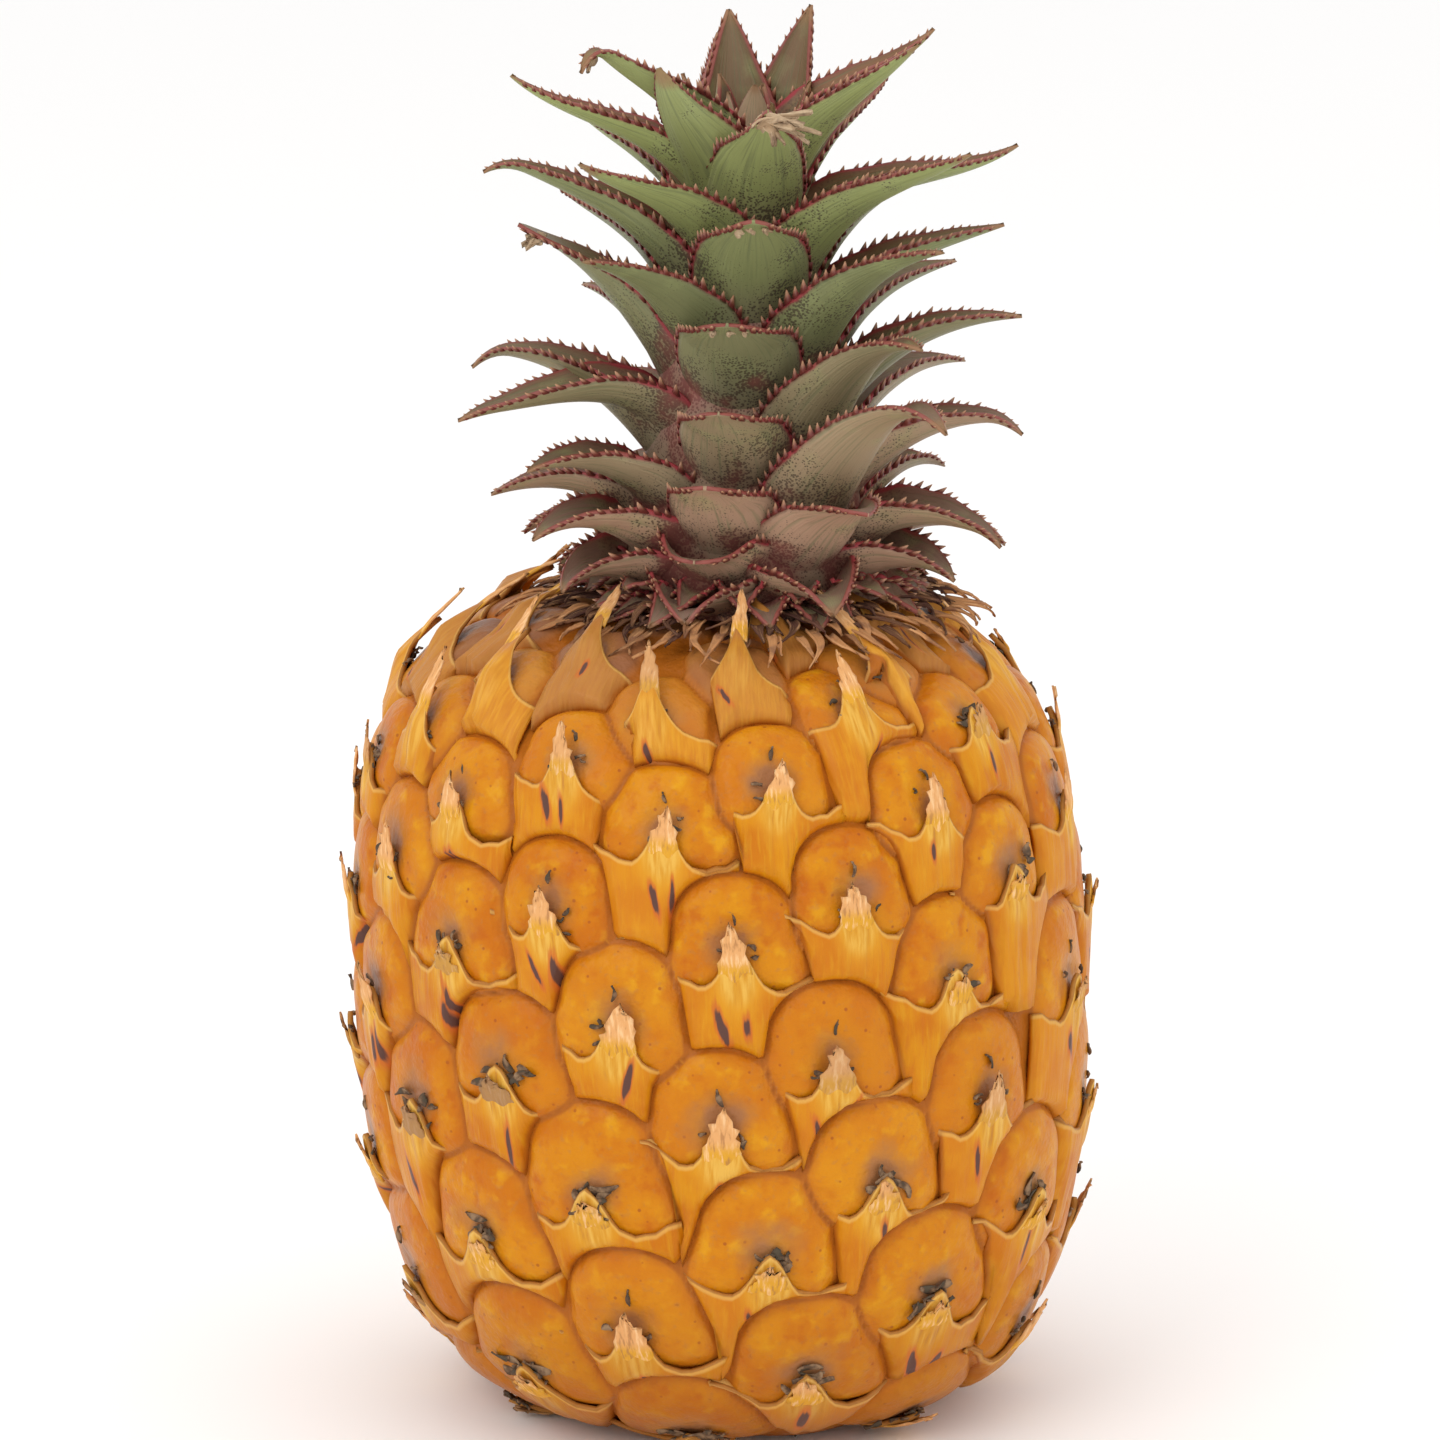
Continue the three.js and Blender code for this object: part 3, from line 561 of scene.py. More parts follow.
def leaf_material(name, base_low, base_mid, base_high, scurf_strength, red_from):
    """A crown leaf: waxy and grooved along its length, with red margins and dark scurf."""
    made, tree, place = start_material(name, 0.45, 0.3)
    blade = add_node(tree, "Attribute", {"attribute_name": "blade"}).outputs["Vector"]
    tone = add_node(tree, "Attribute", {"attribute_name": "tone"}).outputs["Vector"]
    age = add_node(tree, "SeparateXYZ", {}, {0: tone}).outputs[0]
    across, along, _ = add_node(tree, "SeparateXYZ", {}, {0: blade}).outputs
    across = add_node(tree, "Math", {"operation": "ABSOLUTE"}, {0: across})
    patches = add_node(tree, "TexNoise", {"Scale": 1 / (6 * MM), "Detail": 4}, {"Vector": place})
    grain = add_node(tree, "TexVoronoi", {"Scale": 1 / (0.4 * MM)}, {"Vector": place})
    veins = fibres_along(tree, blade, tone, (9.0, 1.2, 1.0), 2.0)
    # dark scurf in fine dots, thickest on the lower half of the blade
    settings = {"From Min": 0.6, "From Max": 0.14, "To Min": 0.24, "To Max": -0.3}
    dense = add_node(tree, "MapRange", settings, {"Value": along})
    dense = add_node(tree, "Math", {"operation": "MULTIPLY_ADD", 1: -1.5}, {0: patches, 2: dense})
    dots = add_node(tree, "Math", {"operation": "ADD"}, {0: grain, 1: dense})
    # the red of the margins, brighter low down, and a blush at the foot, strongest on the oldest
    edge = add_node(tree, "Math", {"operation": "MULTIPLY_ADD", 1: 0.2}, {0: patches, 2: across})
    low_red = painted(tree, "#8f4a42", ("#a83a44", along, 0.6, 0.25))
    blush = add_node(tree, "Math", {"operation": "SUBTRACT"}, {0: patches, 1: along})
    blush = add_node(tree, "Math", {"operation": "MULTIPLY_ADD", 1: -0.25}, {0: age, 2: blush})
    dry = add_node(tree, "Math", {"operation": "MULTIPLY_ADD", 1: 0.2}, {0: patches, 2: along})
    paint = painted(
        tree, base_low,
        # middle leaves darker and young upper ones lighter: their own green, partly painted shade and
        # painted light
        (base_mid, age, 0.15, 0.75),
        (base_high, age, 0.68, 1.0),
        ("#9aa26c", patches, 0.48, 0.72, 0.45),
        ("#6c7350", veins, 0.5, 0.32, 0.5),
        ("#998b76", along, 0.3, 0.0, 0.6),
        ("#4a3e34", dots, -0.46, -0.66, scurf_strength),
        ("#7f4a40", edge, red_from, 1.1, 0.75),
        (low_red, edge, 1.03, 1.08, 0.9),
        ("#964c4a", blush, 0.18, 0.46, 0.62),
        ("#94714f", dry, 0.98, 1.06, 0.85),
    )
    bump = add_node(tree, "Bump", {"Strength": 0.35, "Distance": 0.6 * MM}, {"Height": veins})
    return end_material(made, paint, bump)


def spine_material():
    """The leaf's spines: horny, red-brown, paler at the point."""
    made, tree, _ = start_material("leaf_spine", 0.4)
    along = add_node(tree, "Attribute", {"attribute_name": "along"}).outputs["Fac"]
    return end_material(made, painted(tree, "#74362f", ("#b98a68", along, 0.2, 1.0)))


def dry_leaf_material(name, light, dark, fibre, stain):
    """Dried fringe bracts and torn leaf ends: papery, with fibres and stains."""
    made, tree, place = start_material(name, 0.8, 0.15)
    tone = add_node(tree, "Attribute", {"attribute_name": "tone"}).outputs["Vector"]
    blade = add_node(tree, "Attribute", {"attribute_name": "blade"}).outputs["Vector"]
    decay = add_node(tree, "SeparateXYZ", {}, {0: tone}).outputs[0]
    fibres = fibres_along(tree, blade, tone, (4.0, 0.8, 1.0), 2.0)
    patches = add_node(tree, "TexNoise", {"Scale": 1 / (3 * MM), "Detail": 4}, {"Vector": place})
    paint = painted(
        tree, light,
        # darker with decay; on the fringe's inner spikes this is painted shade as well
        (dark, decay, 0.25, 0.7),
        (fibre, fibres, 0.5, 0.7, 0.6),
        (stain, patches, 0.5, 0.7, 0.7),
    )
    bump = add_node(tree, "Bump", {"Strength": 0.5, "Distance": 0.4 * MM}, {"Height": fibres})
    return end_material(made, paint, bump)


def stalk_material():
    """The cut stalk: dry, pale and fibrous, browner at its edge."""
    made, tree, place = start_material("cut_stalk_fibre", 0.85)
    dots = add_node(tree, "TexVoronoi", {"Scale": 1 / (0.9 * MM)}, {"Vector": place})
    patches = add_node(tree, "TexNoise", {"Scale": 1 / (5 * MM), "Detail": 5}, {"Vector": place})
    paint = painted(
        tree, "#d6b57a",
        ("#b58a4e", patches, 0.4, 0.65),
        ("#8d6434", dots, 0.25, 0.05, 0.7),
        ("#8a5f33", away_from(tree, place, stretch=(1, 1, 0)), 8.8 * MM, 11.2 * MM),
    )
    bump = add_node(tree, "Bump", {"Strength": 0.5, "Distance": 0.4 * MM}, {"Height": dots})
    return end_material(made, paint, bump)


def floor_material():
    """A matte white studio sweep."""
    made, tree, _ = start_material("studio_sweep_paper", 0.9)
    tree.nodes["Principled BSDF"].inputs["Base Color"].default_value = colour("#fcfbfa")
    return made


SKIN = skin_material()
BRACT = bract_material()
PAPERY = papery_material()
WITHERED = withered_material()
LEAF_BACK = leaf_material("crown_leaf_back", "#b08e75", "#7d8058", "#a0a968", 0.8, 0.98)
LEAF_FACE = leaf_material("crown_leaf_face", "#86695a", "#7e6a4e", "#855f42", 0.45, 0.88)
SPINE = spine_material()
DRIED = dry_leaf_material("dried_bract", "#c28a5a", "#4a2f27", "#d9a878", "#6a463c")
TORN = dry_leaf_material("torn_leaf_end", "#bda283", "#a0805e", "#d8c2a0", "#6f5646")
STALK = stalk_material()

# ---------- the fruit ----------

SKIN_COLUMNS = 450
SKIN_ROWS = 208
SKIN_FIRST = 4.0  # along the outline
SKIN_LAST = 153.0
FLAT_SPOT = 0.06  # the height of what the fruit stands on
SOCKET_RADIUS = 12
SOCKET_TOP_Z = 4
# Radius and height of the skin's first rows, in the socket round the stalk.
SOCKET_ROWS = [(0, SOCKET_TOP_Z), (11.9, SOCKET_TOP_Z), (SOCKET_RADIUS, FLAT_SPOT), (13.4, FLAT_SPOT)]
CROWN_SEAT_Z = 114.8


def make_skin():
    """The eyes' domes: a sheet wrapped round the outline and closed at its two ends."""
    piece, s, t = flat_sheet(SKIN_COLUMNS, SKIN_ROWS)
    azimuth = s * math.pi
    row = np.round(t * SKIN_ROWS).astype(int)
    reach = (row - len(SOCKET_ROWS)) / (SKIN_ROWS - 1 - len(SOCKET_ROWS))
    distance = SKIN_FIRST + np.clip(reach, 0, 1) * (SKIN_LAST - SKIN_FIRST)
    height, owner, u, v, rim = skin_field(distance, azimuth)
    points = on_fruit(distance, azimuth, height)
    for number, (radius, z) in enumerate(SOCKET_ROWS):
        pick = row == number
        points[pick, 0] = radius * np.sin(azimuth[pick]) + LEAN_AT_BASE * max(0, radius - SOCKET_RADIUS) / 2
        points[pick, 1] = -radius * np.cos(azimuth[pick])
        points[pick, 2] = z
    points[row == SKIN_ROWS] = [LEAN_AT_BASE + LEAN_PER_MM * CROWN_SEAT_Z, 0, CROWN_SEAT_Z]
    points[:, 2] = np.maximum(points[:, 2], FLAT_SPOT)
    shape_mesh(piece.data, points, {
        "rim": np.minimum(rim, 1.5),
        "lobe": np.stack([u, v, 0 * u], 1),
        "tone": EYE_TONE[owner.astype(int)],
        "young": EYE_YOUTH[owner.astype(int)],
    })
    piece.name = "eye_skin"
    close_up(piece)
    finish_piece(piece, "fruit", "fruit_skin", SKIN)


PRESSED_LAYER = 0.3  # the depth that is left of what hangs below the foot
PRESSED_FROM = 1.5
PRESSED_GAP = 0.05


def flatten_foot(piece, thickness):
    """Presses a sheet that hangs below the spot the fruit stands on into a thin layer over it."""
    level = FLAT_SPOT + thickness + PRESSED_GAP + PRESSED_LAYER
    for vertex in piece.data.vertices:
        below = level - vertex.co.z / MM
        if below > 0:
            vertex.co.z = (level - PRESSED_LAYER * (1 - math.exp(-below / PRESSED_FROM))) * MM


# The upper edge of a bract: its left wing climbs outwards and its right one runs level.
BRACT_EDGE_U = [
    -11.2, -9.4, -8.0, -6.6, -5.4, -4.3, -3.5, -3.0, -2.6, -2.1, -1.5, -0.8,
    0, 0.8, 1.5, 2.1, 2.6, 3.0, 3.5, 4.3, 5.4, 6.6, 8.0, 9.4, 11.2,
]
BRACT_EDGE_V = [
    -4.6, -5.2, -5.9, -6.7, -7.3, -7.4, -7.0, -6.5, -5.9, -5.0, -3.8, -2.8,
    -2.2, -2.8, -3.8, -5.0, -6.0, -6.8, -7.4, -8.0, -8.4, -8.4, -8.1, -7.5, -6.6,
]
BRACT_MIDDLE = 4.6  # its columns lie closer in its middle, as if they reached only this far
YOUNG_POINT_V = 6.5  # a young bract is one long point with hollow sides
YOUNG_POINT_DROP = 14.5
YOUNG_POINT_SPREAD = 3.0
BRACT_FOOT_V = -23  # the lowest that it can reach, and in how many steps its foot is looked for
FOOT_STEPS = 70
FOOT_LAP = 0.3  # how far the foot goes on under the domes below
OWN_DOME_FOOT_V = -5  # what reaches higher than this lies over the domes
FIRST_BRACT = -52  # the ones above are only dry spikes
LAST_BRACT = LAST_EYE + 8
BRACT_COLUMNS = 26
BRACT_ROWS = 12
BRACT_THICKNESS = 0.7
BRACT_ROOT = GROOVE_LEVEL - 0.6  # its edges end this deep in the grooves
WING_START = 3.2  # how far out its wings begin, and over how far they come in
WING_SPAN = 5
WING_STRAY = 0.9
WING_LAP = 0.28  # its wings lie this high over its own dome
NECK_START_V = -10
NECK_SPAN = 6
NECK_HALF_WIDTH = 3.0
NECK_CREST = 0.5
YOUNG_NECK_CREST = 1.6
BRACT_RIPPLE_WIDTH = 4.5
BRACT_STRAY_FROM_V = -9  # above this a bract leans with its tip
# For the slit on each side of a bract: the note's name, its side and the share that lack it.
SLITS = [("slit_a", -1, 0.4), ("slit_b", 1, 0.62)]
SLIT_OUT = (-0.4, 3.0)  # least and most: how far out, how high, half width and half length
SLIT_UP = (-13.6, -9.6)
SLIT_WIDE = (0.32, 0.62)
SLIT_LONG = (1.2, 2.7)
NO_SLIT_V = 60


def other_domes(eye, distance, azimuth):
    """The share of the nearest dome that isn't the eye's own, and of the eye's own."""
    u, v = near_eyes(distance, azimuth)
    share = dome_share(u, v, np.arange(EYE_COUNT))
    own = share[:, eye].copy()
    share[:, eye] = NO_EYE
    return share.min(1), own


def around_eye(eye, u, v):
    """Distance along the outline and azimuth of places in an eye's own millimetres."""
    distance = EYES["distance"][eye] + v * EYES["size"][eye]
    radius = np.maximum(outline_at(distance)[0], LEAST_RADIUS)
    return distance, EYES["azimuth"][eye] + u * EYES["size"][eye] / radius


def bract_foot(eye, across, top):
    """How far down a bract shows: to the domes of the eyes below it."""
    reach = np.linspace(0, 1, FOOT_STEPS)[:, None]
    start = np.minimum(top, OWN_DOME_FOOT_V)
    v = start + (BRACT_FOOT_V - start) * reach
    u = np.broadcast_to(across, v.shape)
    rim, _ = other_domes(eye, *around_eye(eye, u.ravel(), v.ravel()))
    hidden = rim.reshape(v.shape) < 1
    hidden[-1] = True
    first = hidden.argmax(0)
    return v[first, np.arange(len(across))] - FOOT_LAP


def bract_top(columns, young, strays):
    """How high a bract reaches in each of its columns, ripe or young."""
    left, right, drop = strays
    wing = np.clip((np.abs(columns) - WING_START) / WING_SPAN, 0, 1)
    ripe = np.interp(columns, BRACT_EDGE_U, BRACT_EDGE_V)
    ripe += WING_STRAY * wing * np.where(columns < 0, left, right)
    ripe += 0.25 * np.sin(columns * 2.3 + 9 * drop) * wing
    fall = 1 - np.exp(-np.abs(columns) / YOUNG_POINT_SPREAD)
    return ripe + young * (YOUNG_POINT_V + 1.5 * drop - YOUNG_POINT_DROP * fall - ripe)


def neck_crest(young, v):
    """How much higher a bract's middle stands on the way up to its tip."""
    return (NECK_CREST + YOUNG_NECK_CREST * young) * np.clip((v - NECK_START_V) / NECK_SPAN, 0, 1)


def bract_height(across, u, v, rim, own, young, slant):
    """How high a bract stands, over its own dome's foot, between the domes below and in the grooves."""
    over = v > OWN_DOME_FOOT_V
    out = np.where(over, NO_EYE, np.clip((rim - 1) * 9, 0, None))
    crest = BRACT_CREST - BRACT_FALL * (np.abs(across) / BRACT_HALF_WIDTH) ** 2
    crest = crest - 0.6 * np.clip((-9 - v) / 8, 0, 1)
    crest = crest + neck_crest(young, v) * np.exp(-((across / NECK_HALF_WIDTH) ** 2))
    crest = crest + 0.14 * np.sin(across * 2.3 + 7 * slant) * np.exp(-((across / BRACT_RIPPLE_WIDTH) ** 2))
    height = BRACT_ROOT + (crest - BRACT_ROOT) * (1 - np.exp(-(((out + 0.1) / 0.6) ** 1.5)))
    under = np.clip(np.maximum(own, 1 - NEIGHBOUR_PUSH * (rim - own)), 0, 1)
    height = np.where(own < 1, np.maximum(height, dome_height(under, u, v) + WING_LAP), height)
    return np.where((rim < 1) & ~over, BRACT_ROOT - 9 * (1 - rim), height)


def slit_note(side, missing, across, v):
    """Places on a bract as seen from a slit in it, whose edge is where they are about 1 long."""
    middle_u, middle_v = side * rng.uniform(*SLIT_OUT), rng.uniform(*SLIT_UP)
    turn = -0.13 * middle_u + rng.uniform(-0.22, 0.22)
    wide, long = rng.uniform(*SLIT_WIDE), rng.uniform(*SLIT_LONG)
    if rng.uniform() < missing:
        middle_v = NO_SLIT_V
    du, dv = across - middle_u, v - middle_v
    return np.stack([
        (du * math.cos(turn) + dv * math.sin(turn)) / wide,
        (-du * math.sin(turn) + dv * math.cos(turn)) / long,
        0 * v,
    ], 1)


def bract_shapes(s, t):
    """Every bract: wings over its own eye's lower edge, body between the two eyes below."""
    inner = np.abs(s)
    across = np.sign(s) * (BRACT_MIDDLE * inner + (BRACT_HALF_WIDTH - BRACT_MIDDLE) * inner**3)
    columns, column = np.unique(np.round(across, 5), return_inverse=True)
    for eye, _ in eyes_between(FIRST_BRACT, LAST_BRACT):
        *strays, slant = rng.uniform(-1, 1, 4)
        young = min(1, EYE_YOUTH[eye])
        top = bract_top(columns, young, strays)
        foot = bract_foot(eye, columns, top)[column]
        top = top[column]
        v = foot + (top - foot) * t**0.8
        leaning = 0.7 * EYES["stray"][eye] * np.clip(1 - v / BRACT_STRAY_FROM_V, 0, 2.4)
        u = across + leaning + 0.5 * slant * np.clip((v + 12) / 12, 0, 1)
        distance, azimuth = around_eye(eye, u, v)
        rim, own = other_domes(eye, distance, azimuth)
        height = bract_height(across, u, v, rim, own, young, slant)
        notes = {
            "rim": np.clip(rim, 0, 2),
            "edge": np.clip((top - v) * 0.7, 0, 9),
            "lobe": np.stack([across, v, 0 * v], 1),
            "tone": np.tile(EYE_TONE[eye], (len(v), 1)),
            "young": np.full(len(v), EYE_YOUTH[eye]),
        }
        for key, side, missing in SLITS:
            notes[key] = slit_note(side, missing, across, v)
        yield on_fruit(distance, azimuth, height), notes


def make_bracts():
    """The fleshy bracts under the eyes."""
    template, s, t = flat_sheet(BRACT_COLUMNS, BRACT_ROWS)
    piece = grown_copies("bracts", template, list(bract_shapes(s, t)))
    flatten_foot(piece, BRACT_THICKNESS)
    thicken(piece, BRACT_THICKNESS)
    finish_piece(piece, "fruit", "fruit_skin", BRACT)


# Eyes whose flower left a dark tangle over a broken tip, and eyes that kept a whole pale tip. The
# other eyes draw which they are.
WITHERED_EYES = {5, 16, 29, 26, 34, 39, 47, 31, 37, 50, 24, 3, -3, -24, 58, 55}
WHOLE_EYES = {-13, 0, -8, 8, 13, 21, 42, 18, -21, -16, -26, -5, -29, -18, -39}
WHOLE_TIPS = 0.6  # the share of the other eyes whose tip is whole, and the share with a tangle
DARK_TANGLES = 0.4
YOUNG_AND_WHOLE = 0.3  # above this youth every tip is whole
LAST_TIP = LAST_EYE + 4
TIP_COLUMNS = 8
TIP_ROWS = 12
TIP_THICKNESS = 0.3
TIP_FOOT_V = -8.2
TIP_STRAY_FROM_V = -8.4
TIP_HALF_WIDTH = (2.0, 2.6)  # the least and the most
# The same for whole tips (True) and broken ones (False): their length and how far they stand off.
TIP_LENGTH = {True: (7.6, 9.6), False: (4.0, 5.6)}
TIP_LIFT = {True: (0.3, 1.5), False: (0.1, 0.8)}
TIP_DECAY = {True: 1, False: 1.5}  # how much more of the brown of decay a broken one has
TIP_TAPER = 2.2
# How much longer, narrower, higher and further off a young bract's tip is.
YOUNG_TIP = {"length": 2.5, "width": -0.45, "foot": 9.5, "lift": 0.8}


def tip_shapes(s, t):
    """The dry tip of every bract: a narrow ragged sheet that stands off the eye at its end."""
    for eye, number in eyes_between(FIRST_BRACT, LAST_TIP):
        young = min(1, EYE_YOUTH[eye])
        whole = number in WHOLE_EYES or (number not in WITHERED_EYES and rng.uniform() < WHOLE_TIPS)
        whole = bool(whole or young > YOUNG_AND_WHOLE)
        length = rng.uniform(*TIP_LENGTH[whole]) + YOUNG_TIP["length"] * young
        half = rng.uniform(*TIP_HALF_WIDTH) * (1 + YOUNG_TIP["width"] * young)
        foot = TIP_FOOT_V + YOUNG_TIP["foot"] * young
        lift = rng.uniform(*TIP_LIFT[whole]) + YOUNG_TIP["lift"] * young
        ragged = rng.uniform(-1, 1, (len(t),)) * np.clip(t * 2.2 - 0.7, 0, 1)
        side = np.clip(np.abs(s) * 3 - 2, 0, 1)
        v = foot + length * t + 0.6 * ragged * t
        u = s * (half * (1 - t**TIP_TAPER) ** 0.9 + 0.12) * (1 + 0.4 * ragged * side)
        u = u + EYES["stray"][eye] * (1 - v / TIP_STRAY_FROM_V) + rng.uniform(-0.6, 0.6) * t**2
        distance, azimuth = around_eye(eye, u, v)
        crest = BRACT_CREST + neck_crest(young, v)
        rise = -0.35 + 0.65 * np.clip(t * 2.6, 0, 1) + lift * t**TIP_TAPER
        height = crest + rise - 0.5 * s**2 * (1 - t) + 0.15 * ragged
        yield on_fruit(distance, azimuth, height), {
            "lobe": np.stack([u, v - foot + TIP_FOOT_V, 0 * v], 1),
            "tone": np.tile(EYE_TONE[eye] * [1, TIP_DECAY[whole], 1], (len(v), 1)),
        }


def make_tips():
    """The bracts' dry tips."""
    template, s, t = flat_sheet(TIP_COLUMNS, TIP_ROWS)
    piece = grown_copies("bract_tips", template, list(tip_shapes(s, t)))
    flatten_foot(piece, TIP_THICKNESS)
    thicken(piece, TIP_THICKNESS)
    finish_piece(piece, "fruit", "fruit_skin", PAPERY)


FIRST_SHRED = FIRST_EYE + 12
SHRED_COLUMNS = 2
SHRED_ROWS = 7
SHRED_THICKNESS = 0.25
# The shreds of a dark tangle, the crumbs of a whole eye, and the one hair at its tip: how many,
# heading, length and half width from the least to the most, and how far they curl.
TANGLE = (9, (-math.pi, math.pi), (2.0, 4.2), (0.25, 0.65), 1.4)
CRUMBS = (4, (-math.pi, math.pi), (1.0, 2.0), (0.14, 0.34), 1.4)
HAIR = (1, (1.3, 1.9), (2.4, 3.4), (0.14, 0.34), 0.56)
HAIR_V = 1.6
TANGLE_SPREAD = 1.5
CRUMBS_ASIDE = (1.8, 3.0)
SHREDS_V = -3.6
SHREDS_SPREAD_V = 1.1


def shred_shapes(s, t):
    """What is left of each flower: small curled shreds behind the tip, and a hair at its end."""
    for eye, number in eyes_between(FIRST_SHRED, LAST_TIP):
        dark = number in WITHERED_EYES or (number not in WHOLE_EYES and rng.uniform() < DARK_TANGLES)
        group = TANGLE if dark else CRUMBS
        for place in range(group[0]):
            hair = place == 0 and not dark
            _, headings, lengths, halves, most_curl = HAIR if hair else group
            heading = rng.uniform(*headings)
            length = rng.uniform(*lengths)
            half = rng.uniform(*halves)
            if dark:
                start_u = rng.normal(0, TANGLE_SPREAD)
            else:
                start_u = rng.choice([-1, 1]) * rng.uniform(*CRUMBS_ASIDE) * (not hair)
            start_v = HAIR_V if hair else rng.normal(SHREDS_V, SHREDS_SPREAD_V)
            path = heading + rng.uniform(-most_curl, most_curl) * (t - 0.5)
            wide = s * half * np.sin(math.pi * np.clip(t * 0.86 + 0.1, 0, 1))
            u = start_u + length * (t - 0.5) * np.cos(path) - wide * np.sin(path)
            v = start_v + length * 0.7 * (t - 0.5) * np.sin(path) + wide * np.cos(path)
            distance, azimuth = around_eye(eye, u, v)
            bow = rng.uniform(-0.5, 0.9) * (t - 0.3) ** 2
            height = -0.5 + rng.uniform(0.1, 0.9) + bow + 0.3 * s * np.sin(4 * t + start_u)
            yield on_fruit(distance, azimuth, height), {}


def make_shreds():
    """The withered flowers."""
    template, s, t = flat_sheet(SHRED_COLUMNS, SHRED_ROWS)
    piece = grown_copies("withered_flowers", template, list(shred_shapes(s, t)))
    flatten_foot(piece, SHRED_THICKNESS)
    thicken(piece, SHRED_THICKNESS)
    finish_piece(piece, "fruit", "fruit_skin", WITHERED)


# ---------- the crown ----------

CROWN_OFFSET = 3.7  # how far to the right the crown stands
CROWN_BASE_Z = 114.4
STEM_RADIUS = 18.5
STEM_TAPER = 0.19
STEM_TOP_Z = 174
FIRST_LEAF = -7
LAST_LEAF = 47
FIRST_UPPER_LEAF = 22
LEAF_TURN = 135.58
LEAF_ZERO_AZIMUTH = -152.5
LEAF_WIDTH = 18.4
LEAF_WIDTH_LOSS = 5
LEAF_CHANNEL = 0.38
LEAF_CHANNEL_LOSS = 0.14
LEAF_SCALE = 50
# Each measure as a curve of a leaf's number over that scale: its start, its slope and its square.
LEAF_BASE_Z = (111.1, 54.3, 13.8)
LEAF_TIP_RISE = (0.66, 39.7, -19.5)
LEAF_TIP_RADIUS = (30.1, 43.9, -49.3)
LEAF_RISE = (42, 34, 0)  # degrees over level, at the foot and at the tip
LEAF_DROOP = (-42, 100, 0)
# The leaves below number 0 lie lower: how much flatter and longer the first of them is.
LOW_LEAF_FLATTER = 26
LOW_LEAF_LONGER = 4
# The least height of a leaf's tip over the crown's foot, for the first leaf and for each next one.
LEAST_TIP_RISE = 1.7
LEAST_TIP_STEP = 0.45
LEAST_BASE_DROP = 0.8
# Leaves that strayed from the spiral: degrees of azimuth, and millimetres out and up.
STRAY_LEAVES = {
    1: (0, 0, 3), 2: (-12, 6, -1), 4: (0, 4, 7), 7: (0, 1, -3), 9: (0, 0, 6), 10: (0, -4, 0),
    11: (0, 0, -4), 12: (0, 7.5, 11.5), 14: (-9, -4, -2), 15: (0, 0, 1), 17: (0, 0, 4.4),
    19: (0, 0, 2.5), 20: (0, -1, 6.5), 22: (-25, 2.5, -9), 23: (0, -1.3, 1.6), 24: (0, -4, 0),
    25: (-4, 0, 4.1), 27: (0, -1.5, 8.5), 28: (0, 0, 5.5), 30: (0, -6, 0), 31: (0, -2.3, 0),
    33: (0, 0, 5.9), 35: (0, 1, 4), 36: (0, 5, 5), 39: (0, 4, -3), 41: (0, 0, 5),
    43: (0, 2.3, 1.2), 44: (0, -2, 5), 46: (-15, 1, 4), 47: (0, -1.5, 0),
}
# The upright leaves in the heart: degrees of azimuth, the tip's radius and height, and the width.
HEART_LEAVES = [
    (193, 13, 197, 18), (148, 15, 197.7, 16), (325, 21.5, 192.2, 21),
    (20, 8, 186, 11), (255, 10, 189, 12), (95, 9, 188, 11),
]
HEART_NUMBER = 60
HEART_BASE_DEPTH = 8
HEART_RISE = 80  # degrees
HEART_DROOP = 72
# Leaves whose tips hook downwards, by how many millimetres.
HOOKED_LEAVES = {35: 3.6, 19: 2.6, 15: 1.8, 22: 1.0, 12: 1.5, 4: 2.0, 7: 1.0, 46: 7.0}
# Leaves that broke off or withered, and the share of the leaf that is left.
BROKEN_LEAVES = {1: 0.72, 4: 0.85, 9: 0.66, 17: 0.64, 25: 0.64, 27: 0.84, 33: 0.68, 41: 0.88}
BREAK_SQUARENESS = 5
BROAD_LEAVES = {33: 1.14, 25: 1.14, 41: 1.04}
LEAF_END = 0.985  # the share of a whole leaf that is made
BROKEN_BELOW = 0.95
LEAF_COLUMNS = 14
LEAF_ROWS = 34
LEAF_THICKNESS = 0.6
LEAF_RIPPLE = 0.3
LEAF_CURVE = 1.15  # half of the arc that a leaf's cross section makes
FOOT_PULL = 0.42  # how far the foot's and the tip's direction carry along the keel
TIP_PULL = 0.36
HOOK_FROM = 0.8
HOOK_INWARDS = 0.15
# A leaf's width, as a share of its full one: at the foot, how it widens, and how it tapers off.
FOOT_WIDTH = 0.8
WIDENING = 1.1
TAPERING = (1.12, 0.8)
WIDTH_CORNER = 8
FULL_AGE = 40  # the number of the leaf that is as green as any
HEART_AGE = 0.9
OWN_AGE = 0.15


def stem_radius(z):
    """The stem narrows on its way up."""
    return STEM_RADIUS - STEM_TAPER * (z - CROWN_BASE_Z)


